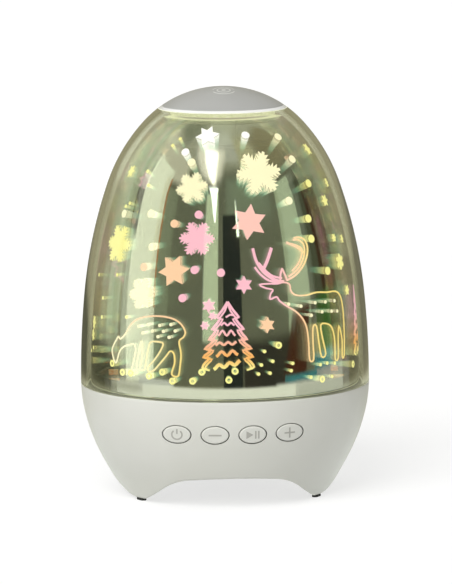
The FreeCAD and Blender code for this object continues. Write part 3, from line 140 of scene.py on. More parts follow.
def object_noise(tree: Tree, size: float, detail: float = 2.0,
                 stretch: Place = (1.0, 1.0, 1.0)) -> Socket:
    """Adds noise on object coordinates.

    Args:
        tree: The node tree to add to.
        size: The size of the noise's blobs.
        detail: How many finer layers it has.
        stretch: Factors on the pattern's scale along X, Y and Z.
    Returns:
        The noise, from 0 to 1.
    """
    place = add_node(tree, "TexCoord", output="Object")
    turned = add_node(tree, "Mapping", {"Vector": place, "Scale": stretch})
    return add_node(tree, "TexNoise",
                    {"Vector": turned, "Scale": 1 / (size * MM), "Detail": detail})


def spread(tree: Tree, source: Socket, low: float, high: float) -> Socket:
    """Spreads the middle of a noise, from 0.3 to 0.7, over a range of values."""
    return add_node(tree, "MapRange", {"Value": source, **span(0.3, 0.7, low, high)})


# Finishes

@dataclass(frozen=True)
class Finish:
    """A finish that can be put on a piece."""

    name: str

    def material(self) -> bpy.types.Material:
        """The finish's material, made the first time that it is asked for.

        Returns:
            The material.
        """
        made = bpy.data.materials.get(self.name)
        if made is None:
            made = bpy.data.materials.new(self.name)
            made.use_nodes = True
            tree = made.node_tree
            tree.nodes.clear()
            surface = add_node(tree, "BsdfPrincipled", self.shade(tree))
            add_node(tree, "OutputMaterial", {"Surface": surface, **self.fill(tree)})
        return made

    def shade(self, tree: Tree) -> Settings:
        """What sets and feeds the surface's shader.

        Args:
            tree: The node tree to add to.
        Returns:
            Its inputs' values, and the sockets that feed them.
        """
        raise NotImplementedError

    def fill(self, tree: Tree) -> Settings:
        """What fills the piece, if light passes through it."""
        return {}


@dataclass(frozen=True)
class MouldedPlastic(Finish):
    """Injection-moulded ABS: a fine spark-eroded grain, and a colour that barely varies."""

    colour: str
    shade_colour: str
    roughness: float
    grain: float = 0.35
    grain_depth: float = 0.006
    cloud: float = 28.0
    wear: str | None = None

    def shade(self, tree: Tree) -> Settings:
        """What sets and feeds the surface's shader."""
        colour = add_ramp(tree, object_noise(tree, self.cloud), (0.35, self.shade_colour),
                          (0.65, self.colour))
        if self.wear is not None:
            # Edges that hands rub turn a little paler
            bent = add_node(tree, "NewGeometry", output="Pointiness")
            rubbed = add_node(tree, "MapRange", {"Value": bent, **span(0.52, 0.6, 0.0, 0.6)})
            colour = add_node(tree, "Mix", {"data_type": "RGBA", 0: rubbed, 6: colour,
                                            7: linear(self.wear)}, 2)
        rough = spread(tree, object_noise(tree, self.cloud / 8), self.roughness - 0.04,
                       self.roughness + 0.04)
        grained = add_node(tree, "Bump", {"Height": object_noise(tree, self.grain, 1.0),
                                          "Distance": self.grain_depth * MM})
        return {"IOR": ABS_IOR, "Base Color": colour, "Roughness": rough, "Normal": grained}


@dataclass(frozen=True)
class ClearAcrylic(Finish):
    """Moulded clear acrylic: faintly green in depth, with the slow waves of a moulded wall."""

    tint: str = "#FAFAF4"
    haze: float = 0.01
    haze_size: float = 3.0
    wave: float = 26.0
    wave_depth: float = 0.05
    passed: Colour = (0.40, 0.40, 0.12, 1.0)
    depth: float = 45.0

    def shade(self, tree: Tree) -> Settings:
        """What sets and feeds the surface's shader."""
        waves = add_node(tree, "Bump", {
            "Height": object_noise(tree, self.wave, 1.0, (1.0, 1.0, 0.5)),
            "Distance": self.wave_depth * MM})
        return {"Base Color": linear(self.tint), "IOR": ACRYLIC_IOR, "Transmission Weight": 1.0,
                "Normal": waves,
                "Roughness": spread(tree, object_noise(tree, self.haze_size), 0.0, self.haze)}

    def fill(self, tree: Tree) -> Settings:
        """The olive that long ways through the acrylic take on, such as at the dome's edge."""
        return {"Volume": add_node(tree, "VolumeAbsorption",
                                   {"Color": self.passed, "Density": self.depth})}


@dataclass(frozen=True)
class HalfMirrorFilm(Finish):
    """Vapour-deposited half mirror on plastic: clearer when seen straight on.

    It is opaque at its foot, which hides the small lights.
    """

    tint: str = "#C9CBC5"
    face_cover: float = 0.62
    edge_cover: float = 0.96
    foot_low: float = 49.5
    foot_high: float = 51.5
    wave: float = 34.0
    wave_depth: float = 0.05
    cloud: float = 5.0

    def shade(self, tree: Tree) -> Settings:
        """What sets and feeds the surface's shader."""
        waves = add_node(tree, "Bump", {
            "Height": object_noise(tree, self.wave, 1.0, (1.0, 1.0, 0.35)),
            "Distance": self.wave_depth * MM})
        facing = add_node(tree, "LayerWeight", {"Blend": 0.35}, "Facing")
        tilted = add_node(tree, "MapRange", {"Value": facing, **span(
            0.0, 0.9, self.face_cover, self.edge_cover)})
        place = add_node(tree, "TexCoord", output="Object")
        height = add_node(tree, "SeparateXYZ", {"Vector": place}, "Z")
        foot = add_node(tree, "MapRange", {"Value": height, **span(
            self.foot_low * MM, self.foot_high * MM, 1.0, 0.0)})
        return {"Base Color": linear(self.tint), "Metallic": 1.0,
                "Alpha": add_node(tree, "Math", {"operation": "MAXIMUM", 0: tilted, 1: foot}),
                "Normal": waves,
                "Roughness": spread(tree, object_noise(tree, self.cloud), 0.015, 0.03)}


@dataclass(frozen=True)
class BareSide(Finish):
    """The uncoated inner side of the half mirror's plastic, which is all but invisible."""

    colour: str = "#20241C"
    cover: float = 0.03
    cloud: float = 9.0

    def shade(self, tree: Tree) -> Settings:
        """What sets and feeds the surface's shader."""
        cover = spread(tree, object_noise(tree, self.cloud), self.cover * 0.5, self.cover)
        return {"Base Color": linear(self.colour), "Roughness": 0.1, "Alpha": cover}


@dataclass(frozen=True)
class SatinReflector(Finish):
    """Dark satin metallised plastic that throws the light back outwards."""

    colour: str = "#3A3F33"
    roughness: float = 0.32
    cloud: float = 4.0

    def shade(self, tree: Tree) -> Settings:
        """What sets and feeds the surface's shader."""
        rough = spread(tree, object_noise(tree, self.cloud), self.roughness - 0.05,
                       self.roughness + 0.05)
        return {"Base Color": linear(self.colour), "Metallic": 1.0, "Roughness": rough}


@dataclass(frozen=True)
class EtchedGlow(Finish):
    """Clear marks in the half mirror, bright where the lamp's light leaves, with glowing trails
    that fade between the mirrors: the trails are painted reflections of the marks.

    The mesh says how deep a point lies ("depth", 0 to 1), which colour it glows ("glow") and how
    thick its trail looks (the alpha of "glow").
    """

    colour: str = "#101010"
    painted_echo_colour: str = "#6FCBA6"
    face_strength: float = 1.25
    inner_strength: float = 2.3

    def shade(self, tree: Tree) -> Settings:
        """What sets and feeds the surface's shader."""
        depth = add_node(tree, "Attribute", {"attribute_name": "depth"}, "Fac")
        glow = add_node(tree, "Attribute", {"attribute_name": "glow"})
        turned = add_node(tree, "MapRange", {"Value": depth, **span(0.12, 0.7)})
        # Deeper in the trail the glow turns to the painted echo colour and grows stronger: painted
        # reflections between the mirrors
        colour = add_node(tree, "Mix", {"data_type": "RGBA", 0: turned, 6: glow,
                                        7: linear(self.painted_echo_colour)}, 2)
        strength = add_node(tree, "MapRange", {"Value": depth, **span(
            0.03, 0.12, self.face_strength, self.inner_strength)})
        trail = add_ramp(tree, depth, (0.0, 1.0), (0.14, 0.9), (0.32, 0.45), (0.65, 0.15),
                         (1.0, 0.0))
        veil = add_node(tree, "MapRange", {**span(0.02, 0.06, 1.0), "Value": depth,
                                           "To Max": glow.node.outputs["Alpha"]})
        cover = add_node(tree, "Math", {"operation": "MULTIPLY", 0: trail, 1: veil})
        return {"Base Color": linear(self.colour), "Roughness": 0.6, "Emission Color": colour,
                "Emission Strength": strength, "Alpha": cover}


@dataclass(frozen=True)
class Rubber(Finish):
    """Moulded rubber: matte, with a dusting of paler specks."""

    colour: str = "#1E1E1D"
    dust: str = "#3A3A38"
    speck: float = 0.8
    grain: float = 0.4
    grain_depth: float = 0.02

    def shade(self, tree: Tree) -> Settings:
        """What sets and feeds the surface's shader."""
        colour = add_ramp(tree, object_noise(tree, self.speck, 3.0), (0.5, self.colour),
                          (0.8, self.dust))
        grained = add_node(tree, "Bump", {"Height": object_noise(tree, self.grain),
                                          "Distance": self.grain_depth * MM})
        return {"Roughness": 0.8, "Base Color": colour, "Normal": grained}


@dataclass(frozen=True)
class Metal(Finish):
    """Bare or plated metal: a slight stain in the colour, and fine lines where it was drawn."""

    colour: str
    stain: str
    roughness: float
    lines: Place = (1.0, 1.0, 1.0)
    stain_size: float = 3.0
    line_width: float = 0.3
    line_depth: float = 0.004

    def shade(self, tree: Tree) -> Settings:
        """What sets and feeds the surface's shader."""
        colour = add_ramp(tree, object_noise(tree, self.stain_size, 3.0), (0.35, self.stain),
                          (0.6, self.colour))
        drawn = object_noise(tree, self.line_width, 2.0, self.lines)
        rough = spread(tree, drawn, self.roughness - 0.08, self.roughness + 0.08)
        relief = add_node(tree, "Bump", {"Height": drawn, "Distance": self.line_depth * MM})
        return {"Metallic": 1.0, "Base Color": colour, "Roughness": rough, "Normal": relief}


@dataclass(frozen=True)
class Matte(Finish):
    """A matte mass such as pressed paper, foam, ferrite or woven cloth, with its own grain."""

    colour: str
    fleck: str
    grain: float
    depth: float
    roughness: float = 0.9
    woven: bool = False
    # painted_glow: how much the mass glows in its own colour, a painted highlight
    painted_glow: float = 0.0

    def shade(self, tree: Tree) -> Settings:
        """What sets and feeds the surface's shader."""
        if self.woven:
            place = add_node(tree, "TexCoord", output="Object")
            weft, warp = (add_node(tree, "TexWave", {
                "bands_direction": way, "Scale": WAVE_PERIOD / (self.grain * MM),
                "Vector": place}, "Fac") for way in "XY")
            pattern = add_node(tree, "Math", {"operation": "MAXIMUM", 0: weft, 1: warp})
        else:
            pattern = object_noise(tree, self.grain, 4.0)
        colour = add_ramp(tree, pattern, (0.35, self.colour), (0.7, self.fleck))
        relief = add_node(tree, "Bump", {"Height": pattern, "Distance": self.depth * MM})
        return {"Roughness": self.roughness, "Emission Strength": self.painted_glow,
                "Base Color": colour, "Emission Color": colour, "Normal": relief}


@dataclass(frozen=True)
class BoardLacquer(Finish):
    """Solder mask over a circuit board: green lacquer with the copper's runs just showing."""

    colour: str = "#0E4A2C"
    run_colour: str = "#1B6B3F"
    run_pitch: float = 2.4
    run_height: float = 0.03

    def shade(self, tree: Tree) -> Settings:
        """What sets and feeds the surface's shader."""
        cells = add_node(tree, "TexVoronoi", {
            "distance": "CHEBYCHEV", "feature": "F1", "Scale": 1 / (self.run_pitch * MM),
            "Vector": add_node(tree, "TexCoord", output="Object")})
        colour = add_ramp(tree, cells, (0.30, self.run_colour), (0.36, self.colour))
        relief = add_node(tree, "Bump", {"Height": cells, "Distance": self.run_height * MM})
        return {"Roughness": 0.28, "Base Color": colour, "Normal": relief}


@dataclass(frozen=True)
class LampResin(Finish):
    """The clear resin of a small light that is on: warm, brightest in the middle."""

    colour: str = "#FFD9A0"
    edge: str = "#FF9C4A"
    cloud: float = 1.5

    def shade(self, tree: Tree) -> Settings:
        """What sets and feeds the surface's shader."""
        colour = add_ramp(tree, object_noise(tree, self.cloud), (0.4, self.edge),
                          (0.6, self.colour))
        return {"Roughness": 0.2, "Emission Strength": 1.0, "Base Color": colour,
                "Emission Color": colour}


@dataclass(frozen=True)
class StudioPaper(Finish):
    """White background paper: matte, and lifted to white only where an eye or mirror looks."""

    glow: float
    bounce: float = 0.22
    cloud: float = 90.0

    def shade(self, tree: Tree) -> Settings:
        """What sets and feeds the surface's shader."""
        rays = add_node(tree, "LightPath").node.outputs
        looked = rays["Is Camera Ray"]
        for ray in ("Is Glossy Ray", "Is Transmission Ray"):
            looked = add_node(tree, "Math", {"operation": "MAXIMUM", 0: looked, 1: rays[ray]})
        lift = add_node(tree, "Math", {"operation": "MULTIPLY_ADD", 0: looked, 1: self.glow,
                                       2: self.bounce})
        tone = add_ramp(tree, object_noise(tree, self.cloud), (0.3, 0.36), (0.7, 0.38))
        return {"Roughness": 0.95, "Emission Color": grey(1.0), "Base Color": tone,
                "Emission Strength": lift}


# ABS with a satin grain: soft broad highlights and an even warm white
BASE_PLASTIC = MouldedPlastic("satin_ABS_warm_white", "#DEDED6", "#DADAD1", 0.38)
KEY_PLASTIC = MouldedPlastic("satin_ABS_keys", "#E0E0D8", "#DCDCD3", 0.34)
RING_PLASTIC = MouldedPlastic("gloss_ABS_white", "#F4F4F2", "#EFEFEC", 0.18)
CAP_PLASTIC = MouldedPlastic("satin_ABS_grey_cap", "#ACACAA", "#A4A4A2", 0.36, wear="#BDBDBB")
COVER_PLASTIC = MouldedPlastic("grained_ABS_cover", "#CFCFC8", "#C8C8C1", 0.55)
BLACK_PLASTIC = MouldedPlastic("black_ABS", "#191919", "#222222", 0.45)
INK = MouldedPlastic("pad_printed_grey_ink", "#B4B2AA", "#ADABA3", 0.5, 0.2)
PALE_INK = MouldedPlastic("pad_printed_pale_ink", "#D6D6D2", "#CECEC9", 0.4, 0.2)
DOME_ACRYLIC = ClearAcrylic("clear_acrylic_dome")
# The sealing compound where the dome sits, also put on the dome's skirt and the mirror's flat top:
# its glow is a painted highlight that draws the pale line at the collar
PALE_PAINTED_GLOW = Matte("pale_sealing_compound_painted_glow", "#E4E6CC", "#F2F3E0", 1.5, 0.004, 0.5, painted_glow=0.36)
MIRROR_FILM = HalfMirrorFilm("vapour_half_mirror")
FILM_INSIDE = BareSide("bare_acrylic_inside")
REFLECTOR = SatinReflector("satin_metallised_reflector")
GLOW = EtchedGlow("etched_marks_lit_with_painted_reflections")
FOOT_RUBBER = Rubber("moulded_rubber")
ZINC = Metal("zinc_plated_steel", "#BFC1C2", "#9FA3A6", 0.3)
BLACK_STEEL = MouldedPlastic("black_painted_steel", "#1A1A1B", "#232324", 0.35)
FERRITE = Matte("sintered_ferrite", "#2B2B2D", "#3A3A3C", 0.5, 0.02, 0.7)
COPPER = Metal("bare_copper", "#C98056", "#A86440", 0.25, (0.2, 1.0, 1.0))
PAPER = Matte("pressed_paper_cone", "#1C1C1C", "#2E2E2E", 0.7, 0.04)
CLOTH = Matte("resin_stiffened_cloth", "#B08A3C", "#8C6A28", 0.6, 0.06, 0.85, True)
FOAM = Matte("soft_foam", "#202020", "#343434", 0.6, 0.12)
SLEEVE = MouldedPlastic("shrink_sleeve_blue", "#1D4F8F", "#1A4680", 0.25)
CAN = Metal("drawn_aluminium", "#C9CBCD", "#B0B3B6", 0.28, (1.0, 1.0, 0.05))
BOARD = BoardLacquer("solder_mask_green")
RESIN = LampResin("lit_resin")
LEAD = MouldedPlastic("lead_insulation_red", "#6E1512", "#7A1A16", 0.4)
YELLOW, CREAM, PINK = linear("#F6F19B"), linear("#FBF4CC"), linear("#F7B9CC")
GOLD, PEACH, ORANGE = linear("#F4DA86"), linear("#F8CBA6"), linear("#F3B062")
WHITE = grey(1.0)


# Outlines

@dataclass(frozen=True)
class EggOutline:
    """The egg's outline from the joint up, as arcs that meet without a corner."""

    waist_radius: float = 57.5
    waist_height: float = 45.1
    arcs: tuple[Point, ...] = ((350.0, 5.7), (192.7, 19.2), (69.2, 42.7))
    parting_height: float = 44.2

    @functools.cache
    def pieces(self, offset: float) -> list[tuple[float, ...]]:
        """The arcs moved inwards.

        Args:
            offset: How far inwards.
        Returns:
            Centre across, centre up, radius, first lean and last lean of each arc.
        """
        across, up, before, found = self.waist_radius, self.waist_height, 0.0, []
        for radius, lean in self.arcs:
            first, last = math.radians(before), math.radians(lean)
            centre = (across - radius * math.cos(first), up - radius * math.sin(first))
            found.append((*centre, radius - offset, first, last))
            across = centre[0] + radius * math.cos(last)
            up = centre[1] + radius * math.sin(last)
            before = lean
        last = math.radians(before)
        top_arc = across / math.cos(last)
        found.append((0.0, up - across * math.tan(last), top_arc - offset, last, QUARTER_TURN))
        return found

    def at(self, height: float, offset: float) -> Point:
        """The outline at a height.

        Args:
            height: The height.
            offset: How far inside the egg.
        Returns:
            The distance from the axis and the lean in radians.
        """
        for across, up, radius, _, last in self.pieces(offset):
            rise = (height - up) / radius
            if rise <= math.sin(last):
                lean = math.asin(max(rise, -1.0))
                return across + radius * math.cos(lean), lean
        return 0.0, QUARTER_TURN

    def run(self, offset: float, low: float, high: float, step: float = 1.0) -> list[Point]:
        """Points along the outline between two heights.

        Args:
            offset: How far inside the egg.
            low: The first height.
            high: The last height.
            step: The length between points.
        Returns:
            Points as distance from the axis and height.
        """
        points = []
        for across, up, radius, first, last in self.pieces(offset):
            start = first if points else math.asin((low - up) / radius)
            end = min(last, math.asin(min(1.0, (high - up) / radius)))
            if start >= last or end <= start:
                continue
            count = max(2, round(radius * (end - start) / step))
            leans = [start + (end - start) * index / count for index in range(count + 1)]
            arc = [(across + radius * math.cos(lean), up + radius * math.sin(lean))
                   for lean in leans]
            points += arc[1:] if points else arc
            if end < last:
                break
        return points


@dataclass(frozen=True)
class BaseOutline:
    """The base's outline below the widest place, and the arches between its legs."""

    waist_radius: float = 57.5
    waist_height: float = 45.1
    hull_arc: float = 54.6
    hull_turn: float = math.radians(13.0)
    leg_arc: float = 75.6
    leg_turn: float = math.radians(29.4)
    arch_height: float = 12.3
    arch_flat: float = 17.0
    arch_top_arc: float = 150.0
    arch_corner_arc: float = 17.2
    arch_slope: float = math.radians(43.0)
    foot_height: float = 0.8
    foot_blend: float = 0.5
    leg_count: int = 3
    rounds: int = 12

    def radius(self, height: float, offset: float) -> float:
        """The distance of the wall from the axis.

        Args:
            height: The height.
            offset: How far inside the outside.
        Returns:
            The distance.
        """
        centre = self.waist_radius - self.hull_arc
        first, second = self.hull_arc - offset, self.leg_arc - offset
        hull_cos, hull_sin = math.cos(self.hull_turn), math.sin(self.hull_turn)
        drop = self.waist_height - height
        if drop <= first * hull_sin:
            return centre + math.sqrt(first ** 2 - drop ** 2)
        inner = centre + first * hull_cos - second * hull_cos
        lift = first * hull_sin - second * hull_sin
        if drop - lift <= second * math.sin(self.leg_turn):
            return inner + math.sqrt(second ** 2 - (drop - lift) ** 2)
        end = (inner + second * math.cos(self.leg_turn), lift + second * math.sin(self.leg_turn))
        return end[0] - (drop - end[1]) * math.tan(self.leg_turn)

    def arch(self, across: float) -> float:
        """The height of an arch at a distance to the side of its middle.

        Args:
            across: The distance, either way.
        Returns:
            The height.
        """
        across, top, corner = abs(across), self.arch_top_arc, self.arch_corner_arc
        if across <= self.arch_flat:
            return self.arch_height - top + math.sqrt(top ** 2 - across ** 2)
        lean = math.asin(self.arch_flat / top)
        centre_across = self.arch_flat - corner * math.sin(lean)
        centre_up = self.arch_height - top * (1 - math.cos(lean)) - corner * math.cos(lean)
        end = centre_across + corner * math.sin(self.arch_slope)
        if across <= end:
            return centre_up + math.sqrt(corner ** 2 - (across - centre_across) ** 2)
        foot = centre_up + corner * math.cos(self.arch_slope)
        return foot - (across - end) * math.tan(self.arch_slope)

    def low(self, azimuth: float, offset: float) -> float:
        """The height of the wall's lower edge.

        Args:
            azimuth: The direction from the axis, in radians.
            offset: How far inside the outside.
        Returns:
            The height, which is an arch's or a leg's foot.
        """
        share = FULL_TURN / self.leg_count
        turn = (azimuth + share / 2) % share - share / 2
        height = self.arch_height
        for _ in range(self.rounds):
            seen = max(height, self.foot_height)
            height = (height + self.arch(self.radius(seen, offset) * math.sin(turn))) / 2
        over = height - self.foot_height
        return self.foot_height + (over + math.hypot(over, self.foot_blend)) / 2


EGG = EggOutline()
BASE = BaseOutline()


# Mesh work

def chained(bm: Mesh, places: Sequence[Sequence[float]], closed: bool) -> tuple[list, list]:
    """Adds vertices in a line and the edges that join them, and hands back both."""
    verts = [bm.verts.new(place) for place in places]
    pairs = zip(verts, verts[1:] + verts[:closed])
    return verts, [bm.edges.new(pair) for pair in pairs]


def righted(bm: Mesh) -> Mesh:
    """Turns a mesh's normals outwards and hands it back."""
    bmesh.ops.recalc_face_normals(bm, faces=bm.faces[:])
    return bm


def spun(profile: Sequence[Point], steps: int, closed: bool = True) -> Mesh:
    """Spins a section round the upright axis.

    Args:
        profile: Points as distance from the axis and height, in the mesh's own units.
        steps: How many steps make the full turn.
        closed: Whether the last point joins the first.
    Returns:
        The spun mesh with its normals outwards.
    """
    bm = bmesh.new()
    verts, edges = chained(bm, [(across, 0.0, up) for across, up in profile], closed)
    bmesh.ops.spin(bm, geom=verts + edges, cent=(0, 0, 0), axis=(0, 0, 1), angle=FULL_TURN,
                   steps=steps, use_merge=True)
    bmesh.ops.remove_doubles(bm, verts=bm.verts[:], dist=MERGE_DISTANCE)
    return righted(bm)


def turned(corners: Sequence[Corner], steps: int, segments: int = 3) -> Mesh:
    """Spins a closed section with rounded corners.

    Args:
        corners: Points as (across, up), or (across, up, rounding) where a corner is rounded.
        steps: How many steps make the full turn.
        segments: How many edges round a corner.
    Returns:
        The spun mesh in metres.
    """
    points = []
    for index, corner in enumerate(corners):
        here = Vector(corner[:2])
        if len(corner) == 2:
            points.append(tuple(here))
            continue
        before = Vector(corners[index - 1][:2])
        after = Vector(corners[(index + 1) % len(corners)][:2])
        start = here + (before - here).normalized() * corner[2]
        end = here + (after - here).normalized() * corner[2]
        for step in range(segments + 1):
            share = step / segments
            points.append(tuple(start.lerp(here, share).lerp(here.lerp(end, share), share)))
    bm = spun(points, steps)
    bmesh.ops.scale(bm, vec=(MM,) * 3, verts=bm.verts[:])
    return bm


def moved(bm: Mesh, where: Callable[[Vector], Place]) -> Mesh:
    """Moves a mesh's vertices.

    Args:
        bm: The mesh.
        where: Gives a vertex's new place in millimetres from its old one.
    Returns:
        The mesh in metres, with its normals outwards.
    """
    for vert in bm.verts:
        vert.co = [value * MM for value in where(vert.co)]
    return righted(bm)


def object_from(name: str, bm: Mesh, *finishes: Finish) -> Piece:
    """Makes an object.

    Args:
        name: Its name.
        bm: Its mesh in metres, which is freed.
        finishes: The finishes of its slots.
    Returns:
        The object.
    """
    mesh = bpy.data.meshes.new(name)
    bm.to_mesh(mesh)
    bm.free()
    made = bpy.data.objects.new(name, mesh)
    bpy.context.scene.collection.objects.link(made)
    for finish in finishes:
        mesh.materials.append(finish.material())
    return made


def dress(made: Piece, body: str, slot: str, *replaces: str, sharp: float = 35.0) -> None:
    """Smooths a piece and ties it to the frame.

    Args:
        made: The piece.
        body: The CAD body that it rides on.
        slot: The record's material slot, which is not used.
        replaces: The CAD nodes that it stands for.
        sharp: The angle in degrees above which an edge stays sharp.
    """
    made.data.shade_smooth()
    made.data.set_sharp_from_angle(angle=math.radians(sharp))
    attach(made, body)
    if replaces:
        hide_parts(*replaces)
    LOG.info("piece %s: %d faces on %s", made.name, len(made.data.polygons), body)


def applied(made: Piece, cutters: Sequence[tuple[Piece, str]]) -> None:
    """Applies exact Booleans to a piece and removes the tools.

    Args:
        made: The piece.
        cutters: Tools with UNION or DIFFERENCE, in order.
    """
    for tool, operation in cutters:
        modifier = made.modifiers.new(tool.name, "BOOLEAN")
        modifier.operation = operation
        modifier.solver = "EXACT"
        modifier.object = tool
    bpy.context.view_layer.update()
    finished = bpy.data.meshes.new_from_object(
        made.evaluated_get(bpy.context.evaluated_depsgraph_get()))
    made.modifiers.clear()
    made.data = finished
    for tool, _ in cutters:
        bpy.data.objects.remove(tool)


def oval_rods(name: str, places: Sequence[float], height: float, half: Point,
              front: Callable[[float, float], float], back: float) -> Piece:
    """Makes oval rods along Y, joined in one object.

    Args:
        name: The object's name.
        places: Where the rods stand to the side.
        height: The height of their axes.
        half: Half width and half height of the oval.
        front: Y of the front end at a place to the side and a height.
        back: Y of the rear end.
    Returns:
        The rods as one object.
    """
    bm = bmesh.new()
    for place in places:
        ring = bmesh.ops.create_circle(bm, cap_ends=True, segments=OVAL_STEPS, radius=1.0)["verts"]
        grown = bmesh.ops.extrude_face_region(bm, geom=[ring[0].link_faces[0]])["geom"]
        ends = [item for item in grown if isinstance(item, Vert)]
        for vert in ends + ring:
            across, up = place + vert.co.x * half[0], height + vert.co.y * half[1]
            along = back if vert in ends else front(across, up)
            vert.co = Vector((across, along, up)) * MM
    return object_from(name, righted(bm))


def block(bm: Mesh, low: Place, high: Place) -> None:
    """Adds a block between two corners given in millimetres.

    Args:
        bm: The mesh in metres.
        low: The corner with the lowest values.
        high: The corner with the highest values.
    """
    cube = bmesh.ops.create_cube(bm, size=1.0)["verts"]
    bmesh.ops.translate(bm, vec=(0.5, 0.5, 0.5), verts=cube)
    bmesh.ops.scale(bm, vec=[(b - a) * MM for a, b in zip(low, high)], verts=cube)
    bmesh.ops.translate(bm, vec=[a * MM for a in low], verts=cube)


def smooth_line(points: Sequence[Point], closed: bool, per_span: int) -> list[Point]:
    """A smooth line through points.

    Args:
        points: The points that it passes.
        closed: Whether it comes back to its start.
        per_span: How many pieces lie between two points.
    Returns:
        The points of the line.
    """
    count = len(points)
    line = []
    for first in range(count if closed else count - 1):
        a, b, c, d = (Vector(points[pick % count if closed else min(max(pick, 0), count - 1)])
                      for pick in range(first - 1, first + 3))
        for step in range(per_span):
            t = step / per_span
            line.append(tuple(0.5 * (2 * b + (c - a) * t + (2 * a - 5 * b + 4 * c - d) * t ** 2
                                     + (3 * b - a - 3 * c + d) * t ** 3)))
    return line if closed else [*line, tuple(points[-1])]


def arc_line(radius: float, first: float, last: float, count: int = 24) -> list[Point]:
    """Points on an arc between two angles in degrees."""
    turns = [math.radians(first + (last - first) * index / count) for index in range(count + 1)]
    return [(radius * math.cos(turn), radius * math.sin(turn)) for turn in turns]


def circle(radius: float, count: int = 16) -> list[Point]:
    """Points all round a circle."""
    return arc_line(radius, 0, 360 - 360 / count, count - 1)


def ribbon(bm: Mesh, line: Sequence[Point], width: float, closed: bool = False) -> None:
    """Adds a flat strip of one width along a line.

    Args:
        bm: The mesh, where X and Y are the line's own plane.
        line: The middle of the strip.
        width: Its width.
        closed: Whether the line comes back to its start.
    """
    places = [Vector((*point, 0.0)) for point in line]
    count = len(places)
    sideways = []
    for index, place in enumerate(places):
        before = places[index - 1] if closed or index else place
        after = places[(index + 1) % count] if closed or index < count - 1 else place
        way = after - before
        sideways.append(Vector((-way.y, way.x, 0.0)).normalized() * width / 2)
    verts, edges = chained(bm, [place - side for place, side in zip(places, sideways)], closed)
    bmesh.ops.extrude_edge_only(bm, edges=edges)
    for vert, side in zip(verts, sideways):
        for edge in vert.link_edges:
            other = edge.other_vert(vert)
            if other not in verts and (other.co - vert.co).length < MERGE_DISTANCE:
                other.co += side * 2


def polygon(bm: Mesh, line: Sequence[Point]) -> None:
    """Adds one flat face inside a closed line."""
    bm.faces.new([bm.verts.new((*point, 0.0)) for point in line])


def diced(bm: Mesh, cell: float) -> None:
    """Cuts flat faces into cells, so that they can follow a curved wall.

    Args:
        bm: The mesh.
        cell: The size of the cells.
    """
    for axis in (Vector((1, 0, 0)), Vector((0, 1, 0))):
        reach = int(max(abs(vert.co.dot(axis)) for vert in bm.verts) / cell)
        for index in range(-reach, reach + 1):
            bmesh.ops.bisect_plane(bm, geom=bm.verts[:] + bm.edges[:] + bm.faces[:],
                                   dist=cell * 1e-4, plane_co=axis * index * cell,
                                   plane_no=axis)


def thickened(bm: Mesh, depths: Sequence[float], taper: float = 1.0) -> Mesh:
    """Grows flat faces downwards in steps, into a closed solid.

    Args:
        bm: The mesh of flat faces at a height of zero.
        depths: The depth of each step.
        taper: The last step's size over the first's.
    Returns:
        The mesh with its normals outwards.
    """
    faces = bm.faces[:]
    size = 1.0
    for depth in depths:
        grown = bmesh.ops.extrude_face_region(bm, geom=faces)["geom"]
        faces = [item for item in grown if isinstance(item, bmesh.types.BMFace)]
        wanted = 1.0 + (taper - 1.0) * depth / depths[-1]
        for item in grown:
            if isinstance(item, Vert):
                item.co = Vector((item.co.x * wanted / size, item.co.y * wanted / size, -depth))
        size = wanted
    return righted(bm)


# The base

class Icon(Enum):
    """The signs on the buttons, from left to right, which are the usual ones of any player."""

    POWER = "power"
    MINUS = "minus"
    PLAY = "play"
    PLUS = "plus"


